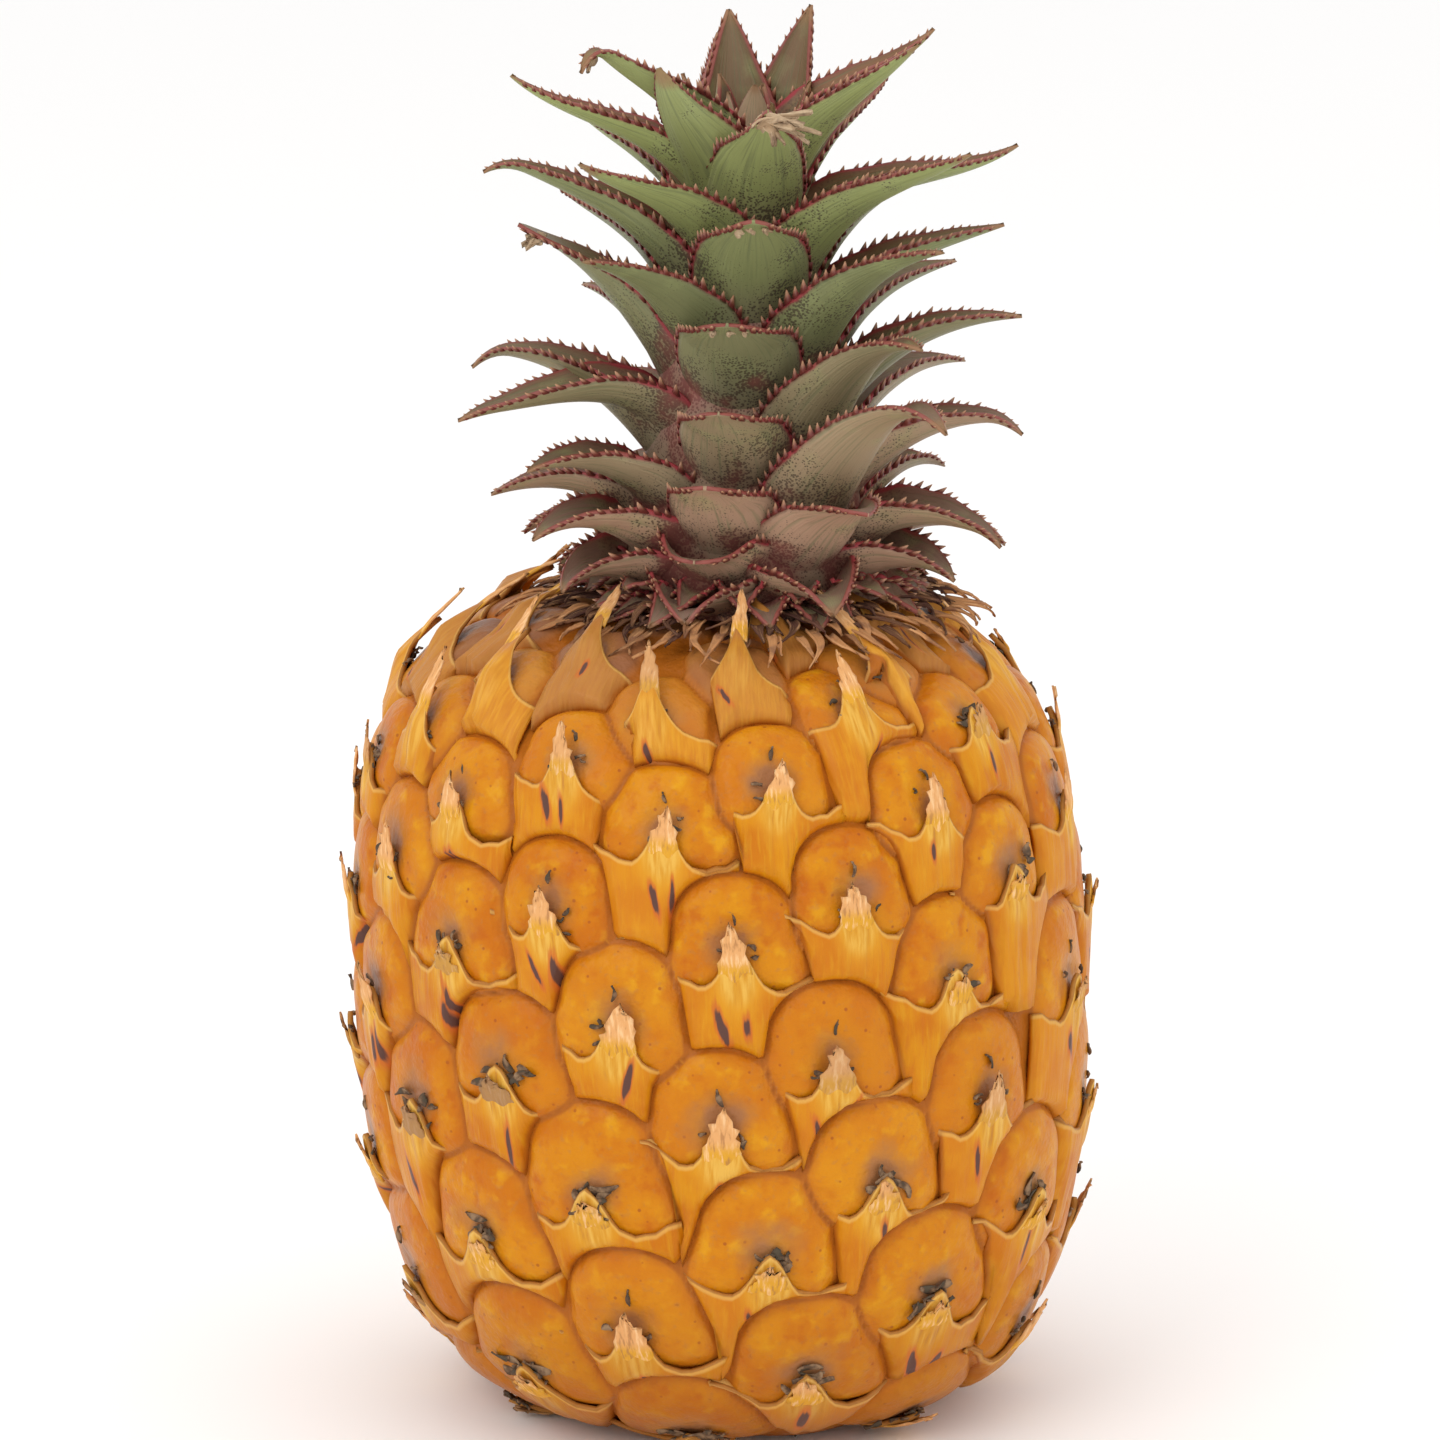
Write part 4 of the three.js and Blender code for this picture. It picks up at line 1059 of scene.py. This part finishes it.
def spiral_leaf(number):
    """The facts of one leaf of the spiral, as in the frame."""
    share = number / LEAF_SCALE

    def curve(rule):
        return rule[0] + rule[1] * share + rule[2] * share**2

    low = max(0, number / FIRST_LEAF)
    swing, reach, lift = STRAY_LEAVES.get(number, (0, 0, 0))
    lowest = CROWN_BASE_Z + LEAST_TIP_RISE + LEAST_TIP_STEP * (number - FIRST_LEAF)
    base_z = max(curve(LEAF_BASE_Z), lowest - LEAST_BASE_DROP)
    return {
        "number": number,
        "azimuth": math.radians(LEAF_ZERO_AZIMUTH + LEAF_TURN * number + swing),
        "base_z": base_z,
        "tip_radius": curve(LEAF_TIP_RADIUS) + LOW_LEAF_LONGER * low + reach,
        "tip_z": max(base_z + curve(LEAF_TIP_RISE), lowest) + lift,
        "width": LEAF_WIDTH - LEAF_WIDTH_LOSS * share**2,
        "rise": math.radians(curve(LEAF_RISE) - LOW_LEAF_FLATTER * low),
        "droop": math.radians(curve(LEAF_DROOP)),
    }


def heart_leaf(place, facts):
    """The facts of one upright leaf in the heart."""
    degrees, tip_radius, tip_z, width = facts
    return {
        "number": HEART_NUMBER + place,
        "azimuth": math.radians(degrees),
        "base_z": STEM_TOP_Z - HEART_BASE_DEPTH,
        "tip_radius": tip_radius,
        "tip_z": tip_z,
        "width": width,
        "rise": math.radians(HEART_RISE),
        "droop": math.radians(HEART_DROOP),
    }


def leaf_line(leaf, share):
    """Radius and height along a leaf's keel, and its direction there."""
    p0 = np.array([leaf.get("base_radius", stem_radius(leaf["base_z"]) - 2), leaf["base_z"]])
    p3 = np.array([leaf["tip_radius"], leaf["tip_z"]])
    span = np.hypot(*(p3 - p0))
    p1 = p0 + FOOT_PULL * span * np.array([math.cos(leaf["rise"]), math.sin(leaf["rise"])])
    p2 = p3 - TIP_PULL * span * np.array([math.cos(leaf["droop"]), math.sin(leaf["droop"])])
    t = share[:, None]
    line = (1 - t) ** 3 * p0 + 3 * t * (1 - t) ** 2 * p1 + 3 * t**2 * (1 - t) * p2 + t**3 * p3
    along = 3 * (1 - t) ** 2 * (p1 - p0) + 6 * t * (1 - t) * (p2 - p1) + 3 * t**2 * (p3 - p2)
    hook = HOOKED_LEAVES.get(leaf["number"], 0) * np.array([-HOOK_INWARDS, -1])
    bend = np.clip((t - HOOK_FROM) / (1 - HOOK_FROM), 0, 1)
    line = line + hook * bend**2
    along = along + hook * 2 * bend / (1 - HOOK_FROM)
    return line, along / np.hypot(*along.T)[:, None]


def leaf_point(leaf, s, share):
    """Points of a leaf's outer face, from s across it and its share of the way up."""
    line, along = leaf_line(leaf, share)
    widening = FOOT_WIDTH + WIDENING * share
    tapering = TAPERING[0] * np.clip(1 - share, 0.002, 1) ** TAPERING[1]
    body = leaf["width"] * (widening**-WIDTH_CORNER + tapering**-WIDTH_CORNER) ** (-1 / WIDTH_CORNER)
    done = np.clip(share / leaf["end"], 0, 1)
    if leaf["end"] < BROKEN_BELOW:
        body = body * np.sqrt(np.clip(1 - done**BREAK_SQUARENESS, 0.003, 1))
    flattening = leaf["flattened"] * np.clip(2.2 * done - 1.1, 0, 1)
    depth = (LEAF_CHANNEL - LEAF_CHANNEL_LOSS * share) * body * leaf["cupped"] * (1 - flattening)
    turn = s * LEAF_CURVE
    across = body / 2 * np.sin(turn) / math.sin(LEAF_CURVE)
    inward = depth * (1 - np.cos(turn)) / (1 - math.cos(LEAF_CURVE))
    radius = line[:, 0] - along[:, 1] * inward
    z = line[:, 1] + along[:, 0] * inward
    across = across + leaf["sway"] * share**3
    azimuth = leaf["azimuth"]
    out = np.array([math.sin(azimuth), -math.cos(azimuth), 0])
    side = np.array([math.cos(azimuth), math.sin(azimuth), 0])
    points = radius[:, None] * out + across[:, None] * side
    points[:, 0] += CROWN_OFFSET
    points[:, 2] = z
    return points


def crown_leaves():
    """Every leaf of the spiral and the heart, with what differs from leaf to leaf."""
    leaves = [spiral_leaf(number) for number in range(FIRST_LEAF, LAST_LEAF + 1)]
    leaves += [heart_leaf(place, facts) for place, facts in enumerate(HEART_LEAVES)]
    for leaf in leaves:
        leaf["sway"] = rng.uniform(-1.5, 1.5)
        leaf["tone"] = rng.uniform(0, 1, 3)
        age = np.clip(leaf["number"] / FULL_AGE, 0, 1) if leaf["number"] < HEART_NUMBER else HEART_AGE
        leaf["tone"][0] = (1 - OWN_AGE) * age + OWN_AGE * leaf["tone"][0]
        leaf["end"] = BROKEN_LEAVES.get(leaf["number"], LEAF_END)
        leaf["cupped"] = 1.0
        leaf["width"] *= BROAD_LEAVES.get(leaf["number"], 1)
        leaf["flattened"] = 1.0 if leaf["end"] < BROKEN_BELOW else 0.0
    return leaves


BUD_COUNT = 8
BUD_NUMBER = 70
# The measures of the bud's first leaf and of its last, degrees for rise and droop.
BUD_MEASURES = {
    "base_radius": (7.2, 2.7),
    "base_z": (STEM_TOP_Z - 2, STEM_TOP_Z + 2),
    "tip_radius": (5.2, 0.4),
    "tip_z": (189, 184),
    "width": (13, 7),
    "rise": (86, 92),
    "droop": (84, 100),
}
BUD_AGE = 0.35
BUD_CUPPED = 1.25


def bud_leaves():
    """The smallest leaves, which close over the stem's top in the heart."""
    leaves = []
    for place in range(BUD_COUNT):
        share = place / (BUD_COUNT - 1)
        leaf = {key: first + (last - first) * share for key, (first, last) in BUD_MEASURES.items()}
        leaf["rise"] = math.radians(leaf["rise"])
        leaf["droop"] = math.radians(leaf["droop"])
        leaf["number"] = BUD_NUMBER + place
        leaf["azimuth"] = math.radians(LEAF_ZERO_AZIMUTH + LEAF_TURN * (LAST_LEAF + 1 + place))
        leaf["tone"] = np.array([BUD_AGE, 0.12 * place, 1 - 0.12 * place])
        leaf.update(sway=0.0, end=LEAF_END, cupped=BUD_CUPPED, flattened=0.0)
        leaves.append(leaf)
    return leaves


def make_leaves(name, leaves):
    """A piece of many leaves, with their own backs and faces."""
    template, s, t = flat_sheet(LEAF_COLUMNS, LEAF_ROWS)
    shapes = []
    for leaf in leaves:
        share = t * leaf["end"]
        ripple = LEAF_RIPPLE * np.sin(share * 24 + leaf["sway"] * 5) * np.abs(s) ** 3
        points = leaf_point(leaf, s, share)
        points[:, 2] += ripple * (1 - share)
        shapes.append((points, {
            "blade": np.stack([s, share, 0 * s], 1),
            "tone": np.tile(leaf["tone"], (len(s), 1)),
        }))
    piece = grown_copies(name, template, shapes)
    piece.data.materials.append(LEAF_BACK)
    piece.data.materials.append(LEAF_FACE)
    thicken(piece, LEAF_THICKNESS, lined=True)
    finish_piece(piece, "crown", "crown_leaf")


SHOULDER_NUMBER = 100
# Radii and heights of the fruit's upper half, from the crown outwards.
SHOULDER = OUTLINE[1][::-1][OUTLINE[1][::-1, 1] > FRUIT_MIDDLE_Z].T


def shoulder_leaf(turn, near, far, over, width, spread):
    """A leaf or bract that lies out over the fruit's shoulder, from radius near to radius far."""
    near_z, far_z = np.interp([near, far], *SHOULDER)
    slope = math.atan2(far_z - near_z, far - near)
    return {
        "number": SHOULDER_NUMBER,
        "azimuth": turn,
        "base_radius": near,
        "base_z": near_z + over - 0.4,
        "tip_radius": far,
        "tip_z": far_z + over * rng.uniform(0.4, 1.6),
        "width": width * rng.uniform(0.75, 1.25),
        "rise": slope + math.radians(rng.uniform(0, spread)),
        "droop": slope - math.radians(rng.uniform(0, 1.3 * spread)),
        "sway": rng.uniform(-0.35, 0.35) * (far - near),
        "tone": rng.uniform(0, 1, 3) * [0.3, 1, 1],
        "end": LEAF_END,
        "cupped": rng.uniform(0.3, 1.0),
        "flattened": 0,
    }


# Rings of scales and spikes: how many, the radius of their feet, the least and the most radius of
# their tips, their height over the shoulder and their width.
SCALE_RINGS = [(17, 17.5, 22.5, 25.0, 2.6, 9.5), (19, 18.5, 25.5, 28.5, 1.3, 8.5)]
FRINGE_RINGS = [
    (52, 21.5, 25.5, 29.0, 1.3, 2.4),
    (66, 24.5, 28.0, 32.5, 1.0, 1.9),
    (78, 27.5, 31.0, 36.0, 0.8, 1.6),
]
SCALE_SPREAD = 30  # how far they stand off at the foot, or bend at the tip, in degrees
FRINGE_SPREAD = 38
FRINGE_SWAY = 2
FRINGE_DARK_WITHIN = 34  # spikes that reach less far out than this are darker: painted shade under the crown's leaves
FRINGE_DARK_SPAN = 7
STRIP_COLUMNS = 4  # of the spikes and of the torn strips
STRIP_ROWS = 10
STRIP_THICKNESS = 0.3


def ring_leaves(rings, spread):
    """The facts of all the leaves or spikes in some rings round the crown's foot."""
    leaves = []
    for count, near, least, most, over, width in rings:
        for place in range(count):
            turn = 2 * math.pi * (place + rng.uniform(-0.4, 0.4)) / count + over
            foot = near + rng.uniform(-1, 1)
            leaves.append(shoulder_leaf(turn, foot, rng.uniform(least, most), over, width, spread))
    return leaves


def make_fringe():
    """The dry spikes of the smallest bracts, which fringe the foot of the crown."""
    template, s, t = flat_sheet(STRIP_COLUMNS, STRIP_ROWS)
    shapes = []
    for leaf in ring_leaves(FRINGE_RINGS, FRINGE_SPREAD):
        leaf["sway"] *= FRINGE_SWAY
        points = leaf_point(leaf, s, t * leaf["end"])
        points[:, 2] += 0.2 * rng.uniform(-1, 1, len(t)) * t * np.abs(s)
        # the inner spikes are painted darker through their tone: painted shade under the crown's leaves
        inner = np.clip((FRINGE_DARK_WITHIN - leaf["tip_radius"]) / FRINGE_DARK_SPAN, 0, 1)
        tone = [0.6 * inner + rng.uniform(0, 0.55), *rng.uniform(0, 1, 2)]
        shapes.append((points, {
            "blade": np.stack([s, t, 0 * t], 1),
            "tone": np.tile(tone, (len(t), 1)),
        }))
    piece = grown_copies("fringe_bracts", template, shapes)
    thicken(piece, STRIP_THICKNESS)
    finish_piece(piece, "crown", "crown_leaf", DRIED)


# Torn strips at the ends of broken leaves: how many, how long, how far they fall and drift to +X.
TORN_LEAVES = {
    41: (13, 9.0, 4.0, 5.0), 27: (4, 2.5, 1.5, -1.0), 33: (3, 2.5, 0.5, 0.0),
    25: (3, 2.0, 0.5, 0.0), 46: (1, 3.0, 3.0, 0.0),
}
TORN_ROOTS = np.array([0.86, 0.92])  # two places along the leaf, which give the strips their direction
TORN_ACROSS = 1.5  # how much of the leaf's breadth, which is 2, has strips


def make_torn_ends(leaves):
    """The dry torn strips where a leaf broke off or withered."""
    template, s, t = flat_sheet(STRIP_COLUMNS, STRIP_ROWS)
    shapes = []
    for leaf in leaves:
        count, length, fall, aside = TORN_LEAVES.get(leaf["number"], (0, 0, 0, 0))
        for place in range(count):
            side = TORN_ACROSS * ((place + rng.uniform(0.1, 0.9)) / count - 0.5)
            ends = leaf_point(leaf, np.full(2, side), leaf["end"] * TORN_ROOTS)
            forward = (ends[1] - ends[0]) / np.linalg.norm(ends[1] - ends[0])
            across = np.cross(forward, [rng.uniform(-0.4, 0.4), -1, rng.uniform(-0.4, 0.4)])
            across /= np.linalg.norm(across)
            long, wide = length * rng.uniform(0.5, 1.1), rng.uniform(0.5, 1.1)
            drift = across * rng.uniform(-0.3, 0.3)
            bend = np.array([aside * rng.uniform(0.2, 1.2), -0.2 * fall, -fall * rng.uniform(0.2, 1.4)])
            body = wide * np.sin(math.pi * np.clip(0.25 + 0.73 * t, 0, 1))
            points = (
                ends[0] + (long * t)[:, None] * forward + (long * t**2)[:, None] * drift
                + (t**2)[:, None] * bend + (s * body)[:, None] * across
            )
            points[:, 2] += 0.3 * np.sin(5 * t + 3 * s + place)
            shapes.append((points, {
                "blade": np.stack([s, t, 0 * t], 1),
                "tone": np.tile(rng.uniform(0, 0.5, 3), (len(t), 1)),
            }))
    piece = grown_copies("torn_leaf_ends", template, shapes)
    thicken(piece, STRIP_THICKNESS)
    finish_piece(piece, "crown", "crown_leaf", TORN)


SPINE_STEP = 1.6  # from spine to spine
SPINE_SHARES = (0.12, 0.97)  # the part of a leaf's length that has spines
SPINE_SAMPLES = 200
SPINE_SIZE = (0.7, 1.15)
SPINE_LONG = 1.15
SPINE_BROAD = 1.5
SPINE_THICK = 0.7
SPINE_LEAN = 0.9
SPINE_SUNK = 0.25


def spine_shapes(leaf, hand, flat):
    """The spines of one margin of a leaf, the left (-1) or the right (1), shaped from a flat cone."""
    share = np.linspace(SPINE_SHARES[0], leaf["end"] * SPINE_SHARES[1], SPINE_SAMPLES)
    edge = leaf_point(leaf, np.full(SPINE_SAMPLES, float(hand)), share)
    inner = leaf_point(leaf, np.full(SPINE_SAMPLES, 0.9 * hand), share)
    steps = np.concatenate([[0], np.cumsum(np.linalg.norm(np.diff(edge, axis=0), axis=1))])
    place = rng.uniform(0.5, 1.5)
    while place < steps[-1]:
        k = int(np.clip(np.searchsorted(steps, place), 1, SPINE_SAMPLES - 2))
        forward = edge[k + 1] - edge[k - 1]
        forward /= np.linalg.norm(forward)
        away = edge[k] - inner[k]
        away -= forward * away.dot(forward)
        away /= np.linalg.norm(away)
        third = np.cross(forward, away)
        size = rng.uniform(*SPINE_SIZE) * (0.65 + 0.5 * math.sin(math.pi * min(1, share[k] + 0.15)))
        lean = SPINE_LEAN * flat[:, 2] ** 1.6
        broad = flat[:, 0] * SPINE_BROAD * (1 - 0.2 * flat[:, 2])
        points = edge[k] - SPINE_SUNK * away + size * (
            SPINE_LONG * flat[:, 2:3] * away
            + (broad + lean)[:, None] * forward
            + SPINE_THICK * flat[:, 1:2] * third
        )
        yield points, {"along": flat[:, 2]}
        place += SPINE_STEP * rng.uniform(0.75, 1.25) * (1.25 - 0.45 * share[k])


def make_spines(leaves):
    """The teeth of the leaves' margins: small cones that lean towards the leaf's tip."""
    bpy.ops.object.select_all(action="DESELECT")
    bpy.ops.mesh.primitive_cone_add(vertices=5, radius1=0.5, radius2=0.06, depth=1, location=(0, 0, 0.5))
    template = fresh_object("spine")
    bpy.ops.object.transform_apply(location=True, rotation=True, scale=True)
    flat = points_of(template.data)
    shapes = []
    for leaf in leaves:
        for hand in (-1, 1):
            shapes.extend(spine_shapes(leaf, hand, flat))
    piece = grown_copies("leaf_spines", template, shapes)
    finish_piece(piece, "crown", "crown_leaf", SPINE)


STEM_SIDES = 48
STEM_CAP_RISE = 4
STEM_CAP_SHARE = 0.2  # how wide the cap's top is, as a share of its foot


def pick_faces(piece, way):
    """Leaves a piece in edit mode, with the faces picked that look up (1) or down (-1)."""
    bpy.ops.object.mode_set(mode="EDIT")
    bpy.ops.mesh.select_all(action="DESELECT")
    bpy.ops.object.mode_set(mode="OBJECT")
    for face in piece.data.polygons:
        face.select = face.normal.z * way > 0.9
    bpy.ops.object.mode_set(mode="EDIT")
    bpy.ops.mesh.select_mode(type="FACE")


def make_stem():
    """The stem inside the leaves, with a low cap."""
    bpy.ops.object.select_all(action="DESELECT")
    height = STEM_TOP_Z - CROWN_BASE_Z - 1
    bpy.ops.mesh.primitive_cylinder_add(
        vertices=STEM_SIDES, radius=stem_radius(CROWN_BASE_Z) * MM, depth=height * MM,
        location=(CROWN_OFFSET * MM, 0, (CROWN_BASE_Z + 1 + height / 2) * MM),
    )
    piece = fresh_object("crown_stem")
    bpy.ops.object.transform_apply(location=True, rotation=True, scale=True)
    for vertex in piece.data.vertices:
        narrow = stem_radius(vertex.co.z / MM) / STEM_RADIUS
        vertex.co.x = CROWN_OFFSET * MM + (vertex.co.x - CROWN_OFFSET * MM) * narrow
        vertex.co.y *= narrow
    pick_faces(piece, 1)
    bpy.ops.mesh.extrude_region_move(TRANSFORM_OT_translate={"value": (0, 0, STEM_CAP_RISE * MM)})
    bpy.ops.transform.resize(value=(STEM_CAP_SHARE, STEM_CAP_SHARE, 1))
    bpy.ops.object.mode_set(mode="OBJECT")
    count = len(piece.data.vertices)
    note_values(piece.data, {
        "blade": np.tile([0.0, 0.1, 0.0], (count, 1)),
        "tone": np.tile([0.2, 0.5, 0.5], (count, 1)),
    })
    finish_piece(piece, "crown", "crown_leaf", LEAF_BACK)


STALK_SIDES = 96
STALK_RADIUS = 11.4
STALK_DEPTH = 3.4
STALK_MIDDLE_Z = 1.9
# Rings of the cut, from its edge inwards: how broad each is, and how much it rises.
STALK_RINGS = [(0.8, 0.0), (1.6, 0.5), (3.0, 0.3), (3.0, -0.2)]


def make_stalk():
    """The cut end of the stalk in its socket under the fruit."""
    bpy.ops.object.select_all(action="DESELECT")
    bpy.ops.mesh.primitive_cylinder_add(
        vertices=STALK_SIDES, radius=STALK_RADIUS * MM, depth=STALK_DEPTH * MM,
        location=(0, 0, STALK_MIDDLE_Z * MM),
    )
    piece = fresh_object("cut_stalk")
    bpy.ops.object.transform_apply(location=True, rotation=True, scale=True)
    pick_faces(piece, -1)
    for inset, lift in STALK_RINGS:
        bpy.ops.mesh.inset(thickness=inset * MM, depth=-lift * MM)
    bpy.ops.object.mode_set(mode="OBJECT")
    finish_piece(piece, "stalk", "cut_stalk", STALK)


# ---------- floor, light and camera ----------

VIEW_DISTANCE = 1.0  # in metres, as are the target and the lights
VIEW_TILT = math.radians(12)
VIEW_TARGET = Vector((-0.00028, 0, 0.0977))
LENS = 177.5
SENSOR_WIDTH = 36
FLOOR_SIZE = 8
# Each light's name, place, size and power in watts.
LIGHTS = [
    ("key", (-0.55, -0.75, 0.75), 0.6, 2.6),
    ("fill", (0.8, -0.6, 0.35), 0.8, 0.8),
    ("top", (0.0, 0.1, 1.0), 0.8, 1.0),
]


def make_stage():
    """The floor, the white world, the lights and the camera."""
    bpy.ops.object.select_all(action="DESELECT")
    bpy.ops.mesh.primitive_plane_add(size=FLOOR_SIZE)
    floor = fresh_object("floor")
    floor.data.materials.append(floor_material())
    floor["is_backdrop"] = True
    world = bpy.data.worlds.new("studio")
    world.use_nodes = True
    world.node_tree.nodes["Background"].inputs[0].default_value = colour("#ffffff")
    world.node_tree.nodes["Background"].inputs[1].default_value = 1.0
    bpy.context.scene.world = world
    for name, place, size, power in LIGHTS:
        lamp = bpy.data.lights.new(name, "AREA")
        lamp.size = size
        lamp.energy = power
        made = bpy.data.objects.new(name, lamp)
        made.location = place
        made.rotation_euler = (VIEW_TARGET - Vector(place)).to_track_quat("-Z", "Y").to_euler()
        bpy.context.scene.collection.objects.link(made)
    camera = bpy.data.cameras.new("camera")
    camera.lens = LENS
    camera.sensor_width = SENSOR_WIDTH
    made = bpy.data.objects.new("camera", camera)
    back = Vector((0, -math.cos(VIEW_TILT), math.sin(VIEW_TILT)))
    made.location = VIEW_TARGET + back * VIEW_DISTANCE
    made.rotation_euler = (-back).to_track_quat("-Z", "Y").to_euler()
    bpy.context.scene.collection.objects.link(made)
    bpy.context.scene.camera = made
    bpy.context.scene.view_settings.view_transform = "Standard"


make_stage()
make_skin()
make_bracts()
make_tips()
make_shreds()
LEAVES = crown_leaves()
SCALES = ring_leaves(SCALE_RINGS, SCALE_SPREAD)
make_fringe()
make_leaves("foot_scales", SCALES)
make_leaves("lower_leaves", [leaf for leaf in LEAVES if leaf["number"] < FIRST_UPPER_LEAF])
make_leaves("upper_leaves", [leaf for leaf in LEAVES if leaf["number"] >= FIRST_UPPER_LEAF])
make_spines(LEAVES + SCALES)
make_torn_ends(LEAVES)
make_leaves("heart_bud", bud_leaves())
make_stem()
make_stalk()

[[list(map(float, corner)) for corner in box] for box in (box_at_load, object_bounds())]
